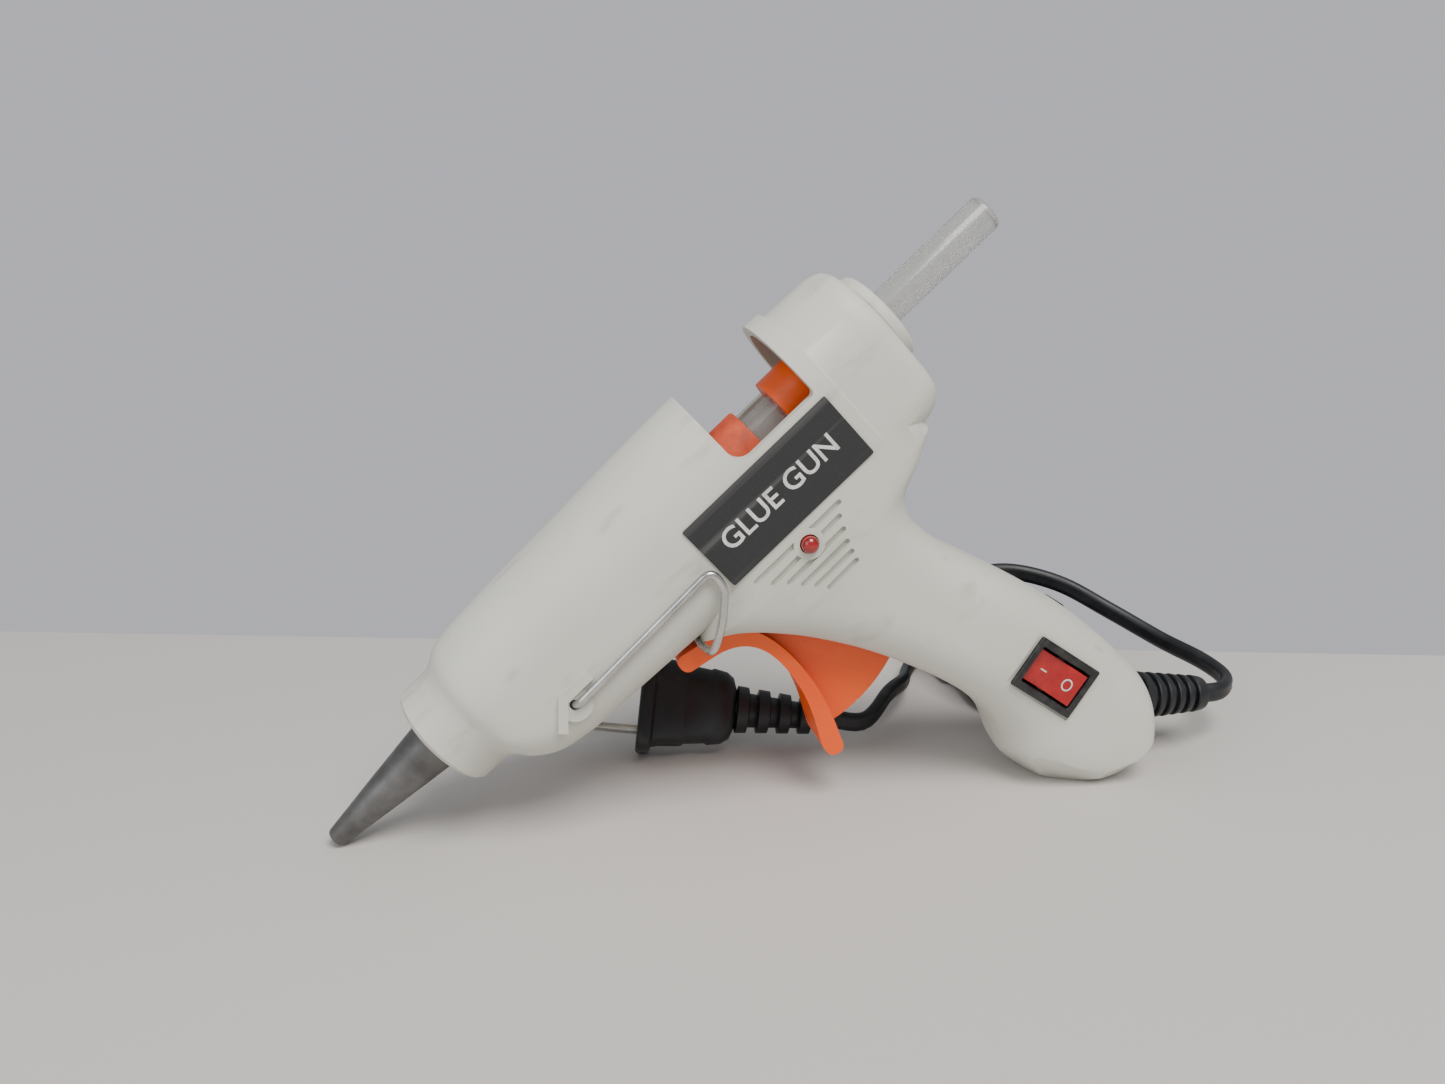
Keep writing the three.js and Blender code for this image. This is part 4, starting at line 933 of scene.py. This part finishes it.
plate_outline = np.concatenate([
    [(79.6, -22.2), (83.4, -27.0), (84.0, -34.5), (83.3, -42.0), (80.6, -51.6)],
    [reach(angle) for angle in np.linspace(sweep_from, sweep_to, 24)],
    [(92.6, -24.0), (90.6, -18.5)],
    np.array([(2.5, 0.2), (1.6, 2.1), (-1.6, 2.1), (-2.5, 0.2)]) + LINK_PIN,
    [(83.6, -19.6)],
])
trigger = carve(solid_object(plate(blade_outline, -TRIGGER_HALF, TRIGGER_HALF)), [
    ("UNION", solid_object(plate(plate_outline, -2.5, 2.5))),
    ("UNION", solid_object(disc(*TRIGGER_PIN, 4.0, -3.1, 3.1))),
    ("DIFFERENCE", solid_object(disc(*TRIGGER_PIN, 1.67, -9, 9))),
    ("DIFFERENCE", solid_object(disc(*LINK_PIN, 1.27, -5, 5))),
])
trigger.name = "trigger_moulding"
soften(trigger, 0.0005)
fit(trigger, ORANGE, "trigger", "orange", "trigger")

# ---- wire stand -------------------------------------------------------------------------
# One length of 1.5 mm bright steel wire, cold bent. Both ends turn in and pivot in holes in
# the casing's sides.
WIRE_R = 0.75
LEG_Y = 14.65
px, pz = STAND_PIVOT
near_leg = np.array([
    (px, -4, pz), (px, -LEG_Y, pz), (px + 33.6, -LEG_Y, -8.0), (px + 33.3, -LEG_Y, -12.2),
    (px + 28.2, -LEG_Y, -16.9), (px + 23.6, -LEG_Y, -19.6), (px + 22.4, 5.0 - LEG_Y, -19.2),
])


def round_corners(points, radius):
    """Each inner corner replaced by a quadratic arc that starts the radius before it."""
    p = np.array(points, float)
    out = [p[:1]]
    for a, b, c in zip(p[:-2], p[1:-1], p[2:]):
        back = min(radius, 0.45 * np.linalg.norm(a - b), 0.45 * np.linalg.norm(c - b))
        start = b + (a - b) / np.linalg.norm(a - b) * back
        end = b + (c - b) / np.linalg.norm(c - b) * back
        u = np.linspace(0, 1, 9)[:, None]
        out.append((1 - u) ** 2 * start + 2 * u * (1 - u) * b + u**2 * end)
    return np.concatenate([*out, p[-1:]])


far_leg = near_leg[::-1] * [1, -1, 1]
wire_line = round_corners(np.concatenate([near_leg, far_leg]), 2.2)


def carried(line, section):
    """A tube with its rings carried along the line without twist (parallel transport)."""
    way = np.gradient(line, axis=0)
    way /= np.linalg.norm(way, axis=1, keepdims=True)
    side = np.cross([0.13, 0.37, 0.91], way[0])
    sides = []
    for w in way:
        side = side - w * (side @ w)
        side = side / np.linalg.norm(side)
        sides.append(side)
    sides = np.array(sides)
    other = np.cross(way, sides)
    return line[:, None] + section[:, :1] * sides[:, None] + section[:, 1:] * other[:, None]


wire_skin = carried(wire_line, ring(WIRE_R, 16))
wire = mesh_object("wire_stand_bent", [(stand(wire_skin), closed_grid(wire_skin))], sharp=50)


def bright_steel():
    """Drawn steel wire and strip: fine draw lines, faint stains."""
    material = node_material("bright_steel", Metallic=1.0)
    stain = add_noise(material, 260, 5)
    tint(material, stain.outputs["Fac"], [(0.3, (0.46, 0.455, 0.44)), (0.7, (0.66, 0.655, 0.64))])
    lines = add_noise(material, 700, 3)
    roughen(material, lines.outputs["Fac"], (0.3, 0.22), (0.7, 0.34))
    emboss(material, lines.outputs["Fac"], 0.06, 0.00002)
    return material


STEEL = bright_steel()
fit(wire, STEEL, "wire_stand", "wire", "wire_stand")

# ---- label ------------------------------------------------------------------------------
# Charcoal polyester film, fine-grained, cut with small round corners and stuck on the near
# side. Plain lettering is screen-printed on it in white.
LABEL = {"x0": 86.6, "x1": 120.4, "z0": -13.5, "z1": 0.2, "low": -13.4, "high": -13.62, "corner": 0.35}
label_outline = rounded_box(LABEL["x0"], LABEL["x1"], LABEL["z0"], LABEL["z1"], LABEL["corner"], 5)
label_skin = plate(label_outline, LABEL["high"], LABEL["low"])
label = mesh_object("label_plate", [(stand(label_skin), closed_grid(label_skin))])


def label_print():
    """Charcoal print: pebbled grain and faint lengthwise lines."""
    material = node_material("label_print")
    grain = add_noise(material, 2400, 2, kind="ShaderNodeTexVoronoi")
    tone = add_ramp(material, grain.outputs["Distance"], [
        (0.1, (0.060, 0.060, 0.061)),
        (0.6, (0.022, 0.022, 0.023)),
    ])
    lines = add_noise(material, 520, 2, stretch=(60, 1, 1), turn=-SLOPE)
    streaks = add_ramp(material, lines.outputs["Fac"], [(0.56, (0, 0, 0)), (0.72, (1, 1, 1))])
    struck = mix_colours(material, streaks.outputs["Color"], tone.outputs["Color"], (0.075, 0.075, 0.074))
    to_shader(material, struck, "Base Color")
    roughen(material, grain.outputs["Distance"], (0.1, 0.50), (0.6, 0.72))
    emboss(material, grain.outputs["Distance"], 0.35, 0.00006)
    return material


fit(label, label_print(), "gun", "label", "label")
WORDS_LENGTH = 26.0
words = bpy.data.curves.new("words", "FONT")
words.body = "GLUE GUN"
words.size = 1.0
words.align_x = "CENTER"
words.align_y = "CENTER"
words.resolution_u = 4
words.offset = 0.012
words_piece = bpy.data.objects.new("words", words)
bpy.context.scene.collection.objects.link(words_piece)
bpy.context.view_layer.update()
printed = bpy.data.meshes.new_from_object(words_piece.evaluated_get(bpy.context.evaluated_depsgraph_get()))
bpy.data.objects.remove(words_piece)
flat = np.empty(len(printed.vertices) * 3)
printed.vertices.foreach_get("co", flat)
flat = flat.reshape(-1, 3)
flat -= (flat.max(axis=0) + flat.min(axis=0)) / 2
flat *= WORDS_LENGTH / np.ptp(flat[:, 0])
middle_x, middle_z = (LABEL["x0"] + LABEL["x1"]) / 2, (LABEL["z0"] + LABEL["z1"]) / 2
ink_y = np.full(len(flat), LABEL["high"] - 0.02)
on_label = np.stack([middle_x + flat[:, 0], ink_y, middle_z + flat[:, 1]], axis=-1)
printed.vertices.foreach_set("co", stand(on_label).ravel())
lettering = bpy.data.objects.new("label_words", printed)
bpy.context.scene.collection.objects.link(lettering)


def white_ink():
    """Screen-printed white ink: slightly uneven and dusty."""
    material = node_material("white_ink", Roughness=0.55)
    uneven = add_noise(material, 900, 4)
    tint(material, uneven.outputs["Fac"], [(0.3, (0.52, 0.52, 0.50)), (0.6, (0.72, 0.72, 0.70))])
    emboss(material, uneven.outputs["Fac"], 0.2, 0.00004)
    return material


WHITE_INK = white_ink()
fit(lettering, WHITE_INK, "gun", "label")

# ---- lamp -------------------------------------------------------------------------------
# Small red polycarbonate dome over the lamp, with a flange behind it. It is pushed through the
# round hole in the grille from inside.


def turned_across(name, profile, spot, sides=40):
    """A closed profile (y, radius) turned about an axis across the gun at (x, z)."""
    profile = np.array(profile, float)
    a, b = ring(1, sides).T
    points = np.stack([
        spot[0] + profile[:, 1, None] * a,
        profile[:, :1] + 0 * a,
        spot[1] + profile[:, 1, None] * b,
    ], axis=-1)
    return mesh_object(name, [(stand(points), closed_grid(points))])


lamp_face = -HALF_WIDTH + 4.0
dome = [(lamp_face - 4.6 - 1.25 * math.sin(a), 1.6 * math.cos(a)) for a in np.linspace(0, 1.5, 9)]
lamp_profile = [(lamp_face, 1.9), (lamp_face - 1.1, 1.9), (lamp_face - 1.1, 1.6), *dome]
lamp = turned_across("lamp_dome", lamp_profile, LAMP_AT)


def red_lens():
    """Deep red moulded lens: glossy, slightly cloudy inside."""
    material = node_material("red_lens", Roughness=0.18, Coat_Weight=0.6)
    cloud = add_noise(material, 700, 3)
    tint(material, cloud.outputs["Fac"], [(0.3, (0.20, 0.006, 0.006)), (0.7, (0.38, 0.012, 0.010))])
    emboss(material, cloud.outputs["Fac"], 0.1, 0.00004)
    return material


fit(lamp, red_lens(), "gun", "lamp", "lamp")

# ---- switch -----------------------------------------------------------------------------
# Snap-in rocker switch: black nylon frame and body, two tabs behind, translucent red rocker
# on a pin, marked I and O.
SEAT = -HALF_WIDTH + 0.2
FACE = -HALF_WIDTH - 0.8


def switch_block(half_wide, half_long, y0, y1, middle=0.0):
    """A block in the switch's own directions."""
    return solid_object(in_switch(box(-half_wide, half_wide, y0, y1, middle - half_long, middle + half_long)))


bezel = carve(switch_block(5.5, 7.5, FACE, SEAT), [
    ("UNION", switch_block(4.4, 6.5, SEAT - 0.4, SEAT + 12)),
    ("UNION", switch_block(0.4, 1.7, SEAT + 11.5, SEAT + 17, 3.5)),
    ("UNION", switch_block(0.4, 1.7, SEAT + 11.5, SEAT + 17, -3.5)),
    ("DIFFERENCE", switch_block(3.9, 6.1, -FAR, SEAT + 6.5)),
])
bezel.name = "switch_frame"
soften(bezel, 0.0004)


def black_nylon():
    """Black moulded nylon: fine spark grain, soft gloss, light dust."""
    material = node_material("black_nylon")
    dust = add_noise(material, 600, 6)
    tint(material, dust.outputs["Fac"], [(0.45, (0.010, 0.010, 0.011)), (0.75, (0.036, 0.035, 0.034))])
    roughen(material, dust.outputs["Fac"], (0.3, 0.30), (0.7, 0.48))
    grain = add_noise(material, 3600, 1)
    emboss(material, grain.outputs["Fac"], 0.25, 0.00005)
    return material


NYLON = black_nylon()
fit(bezel, NYLON, "gun", "black", "switch_housing")

TILT = math.radians(9)
ROCKER_PIN_Y = SEAT + 1.8


def in_rocker(points):
    """Rocker millimetres (across, outward-negative y, along) turned by its tilt about its pin."""
    x, y, z = np.moveaxis(np.asarray(points, float), -1, 0)
    c, s = math.cos(-TILT), math.sin(-TILT)
    along, height = -z, y
    return in_switch(np.stack([x, ROCKER_PIN_Y + along * s + height * c, -(along * c - height * s)], axis=-1))


side_line = np.array([
    (-5.3, 0.4), (-5.5, -2.7), (-0.6, -1.9), (0.6, -1.9), (5.5, -2.7), (5.3, 0.4), (2, 2.6), (-2, 2.6),
])
rocker_skin = np.stack([
    in_rocker(np.stack([0 * side_line[:, 0] + x, side_line[:, 1], -side_line[:, 0]], axis=-1))
    for x in (-3.4, 3.4)
])
pin_bore = np.stack([np.insert(ring(1.12, 24), 0, x, axis=1) for x in (-10, 10)]) + [0, ROCKER_PIN_Y, 0]
rocker = carve(solid_object(rocker_skin), [("DIFFERENCE", solid_object(in_switch(pin_bore)))])
rocker.name = "rocker_lens"
soften(rocker, 0.00035, 40, 30)


def rocker_red():
    """Translucent red polycarbonate: glossy, dust in the grain, slightly streaked."""
    material = node_material("rocker_red")
    streak = add_noise(material, 300, 5)
    tint(material, streak.outputs["Fac"], [(0.3, (0.30, 0.008, 0.010)), (0.7, (0.46, 0.020, 0.018))])
    roughen(material, streak.outputs["Fac"], (0.3, 0.22), (0.7, 0.38))
    grain = add_noise(material, 1500, 2)
    emboss(material, grain.outputs["Fac"], 0.15, 0.00005)
    return material


fit(rocker, rocker_red(), "rocker", "red", "rocker")


def on_rocker(points):
    """Marks (along, across) laid just proud of the rocker's face, which slopes up from its middle."""
    along, across = np.moveaxis(points, -1, 0)
    height = -1.9 - (np.abs(along) - 0.6) * 0.8 / 4.9 - 0.03
    return stand(in_rocker(np.stack([across, height, -along], axis=-1)))


mark_o = np.stack([ring(radius, 32) * [0.8, 1] for radius in (0.95, 1.25)]) + [3.1, 0]
mark_i = np.array([[(-3.2, -0.14), (-1.7, -0.14)], [(-3.2, 0.14), (-1.7, 0.14)]])[:, ::-1]
marks = mesh_object("rocker_marks", [
    (on_rocker(mark_o), grid_faces(2, 32)),
    (on_rocker(mark_i), [(0, 1, 3, 2)]),
])
fit(marks, WHITE_INK, "rocker", "red")

# ---- screws -----------------------------------------------------------------------------
# Five zinc-plated steel cross-head screws, sunk in the far half. Each cuts its own thread in a
# boss of the near half.
for number, (*spot, sunk) in enumerate(SCREWS, 1):
    top = HALF_WIDTH - sunk
    under = top - 1.75
    outline = [(-8.4, 0.0), (-8.4, 0.7), (-7.6, 1.15)]
    for y in np.arange(-7.0, under - 1.2, 1.1):
        outline += [(y, 0.95), (y + 0.5, 1.2)]
    outline += [
        (under - 0.02, 0.95), (under, 2.35), (top - 0.5, 2.4), (top - 0.15, 2.1), (top, 1.5), (top, 0.0),
    ]
    screw = turned_across("screw_threaded_%d" % number, [(y, max(r, 0.001)) for y, r in outline], spot, 32)
    carve(screw, [
        ("DIFFERENCE", solid_object(box(
            spot[0] - long, spot[0] + long, top - 0.9, top + 1, spot[1] - high, spot[1] + high,
        )))
        for long, high in ((1.3, 0.3), (0.3, 1.3))
    ])
    shade(screw, 35)
    fit(screw, STEEL, "gun", "steel", "screw_%d" % number)

# ---- inside -----------------------------------------------------------------------------
# Melt chamber, heater and its clip, nozzle ring, link, pins, spring and wires: seen only through
# the window, the slot and the collar, so they keep their frame shapes and take real finishes.


def cast_alloy():
    """Die-cast aluminium: pale grey, blotched by heat, sandy skin."""
    material = node_material("cast_alloy", Metallic=0.9)
    blotch = add_noise(material, 240, 6)
    tint(material, blotch.outputs["Fac"], [(0.3, (0.33, 0.33, 0.34)), (0.7, (0.50, 0.50, 0.51))])
    roughen(material, blotch.outputs["Fac"], (0.3, 0.45), (0.7, 0.62))
    emboss(material, blotch.outputs["Fac"], 0.4, 0.0002)
    return material


def pale_ceramic():
    """Pale pressed ceramic and board: chalky, speckled."""
    material = node_material("pale_ceramic", Roughness=0.8)
    speckle = add_noise(material, 1300, 5)
    tint(material, speckle.outputs["Fac"], [(0.3, (0.52, 0.49, 0.42)), (0.7, (0.70, 0.68, 0.62))])
    emboss(material, speckle.outputs["Fac"], 0.3, 0.0001)
    return material


def red_insulation():
    """Thin red wire insulation: satin, slightly wavy."""
    material = node_material("red_insulation", Roughness=0.45)
    wave = add_noise(material, 500, 3)
    tint(material, wave.outputs["Fac"], [(0.3, (0.34, 0.020, 0.015)), (0.7, (0.48, 0.035, 0.025))])
    emboss(material, wave.outputs["Fac"], 0.2, 0.0001)
    return material


CERAMIC = pale_ceramic()
INSULATION = red_insulation()
inside = {
    "melt_chamber": cast_alloy(), "nozzle_ring": CERAMIC, "heater": CERAMIC, "heater_clip": STEEL,
    "link_bar": STEEL, "trigger_pin": STEEL, "return_spring": STEEL, "rocker_pin": NYLON,
    "wire_live_in": INSULATION, "wire_live_out": INSULATION, "wire_lamp": INSULATION, "wire_neutral": PVC,
}
for node, material in inside.items():
    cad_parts[node].data.materials.clear()
    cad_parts[node].data.materials.append(material)

# ---- table and light --------------------------------------------------------------------
# A pale painted table top, whose far edge the camera sees, in a light grey room. One large
# soft lamp lights it from above and in front, with a weaker one from the left.


def flat_sheet(name, corners, material):
    """One flat four-sided sheet that isn't part of the object."""
    mesh = bpy.data.meshes.new(name)
    mesh.from_pydata(corners, [], [(0, 1, 2, 3)])
    sheet = bpy.data.objects.new(name, mesh)
    mesh.materials.append(material)
    bpy.context.scene.collection.objects.link(sheet)
    return sheet


def plain(name, colour, rough):
    """A plain matt colour."""
    return node_material(name, Base_Color=(*colour, 1), Roughness=rough)


EDGE_A = np.array([-0.2013, 0.149])
EDGE_B = np.array([0.1817, 0.032])
edge_way = (EDGE_B - EDGE_A) / np.linalg.norm(EDGE_B - EDGE_A)
edge_off = np.array([-edge_way[1], edge_way[0]])
far_a, far_b = EDGE_A - edge_way * 2.5, EDGE_B + edge_way * 2.5
near_a, near_b = far_a - edge_off * 3.0, far_b - edge_off * 3.0
table_corners = [(*near_a, 0), (*near_b, 0), (*far_b, 0), (*far_a, 0)]
flat_sheet("table", table_corners, plain("table_paint", (0.60, 0.57, 0.54), 0.6))


def soft_lamp(name, place, target, size, power, colour):
    """A square soft lamp at a place, turned to a target."""
    data = bpy.data.lights.new(name, "AREA")
    data.size = size
    data.energy = power
    data.color = colour
    lamp = bpy.data.objects.new(name, data)
    bpy.context.scene.collection.objects.link(lamp)
    away = np.array(place, float) - np.array(target, float)
    away /= np.linalg.norm(away)
    across = np.cross([0, 0, 1], away)
    across /= np.linalg.norm(across)
    placed = np.eye(4)
    placed[:3] = np.stack([across, np.cross(away, across), away, place], axis=1)
    lamp.matrix_world = Matrix(placed.tolist())


soft_lamp("soft_lamp", (0.15, -0.55, 0.95), (0, 0, 0.05), 0.55, 13.0, (1.0, 0.98, 0.95))
soft_lamp("fill_lamp", (-0.8, -0.6, 0.5), (0, 0, 0.05), 0.8, 4.0, (0.93, 0.96, 1.0))
world = bpy.data.worlds.new("room")
world.use_nodes = True
world_nodes, world_links = world.node_tree.nodes, world.node_tree.links
room_light = world_nodes["Background"]
room_light.inputs["Color"].default_value = (0.88, 0.90, 0.93, 1)
room_light.inputs["Strength"].default_value = 0.42
backdrop = world_nodes.new("ShaderNodeBackground")
backdrop.inputs["Color"].default_value = (0.54, 0.54, 0.585, 1)
seen = world_nodes.new("ShaderNodeLightPath")
choose = world_nodes.new("ShaderNodeMixShader")
world_links.new(seen.outputs["Is Camera Ray"], choose.inputs[0])
world_links.new(room_light.outputs["Background"], choose.inputs[1])
world_links.new(backdrop.outputs["Background"], choose.inputs[2])
world_links.new(choose.outputs["Shader"], world_nodes["World Output"].inputs["Surface"])
bpy.context.scene.world = world
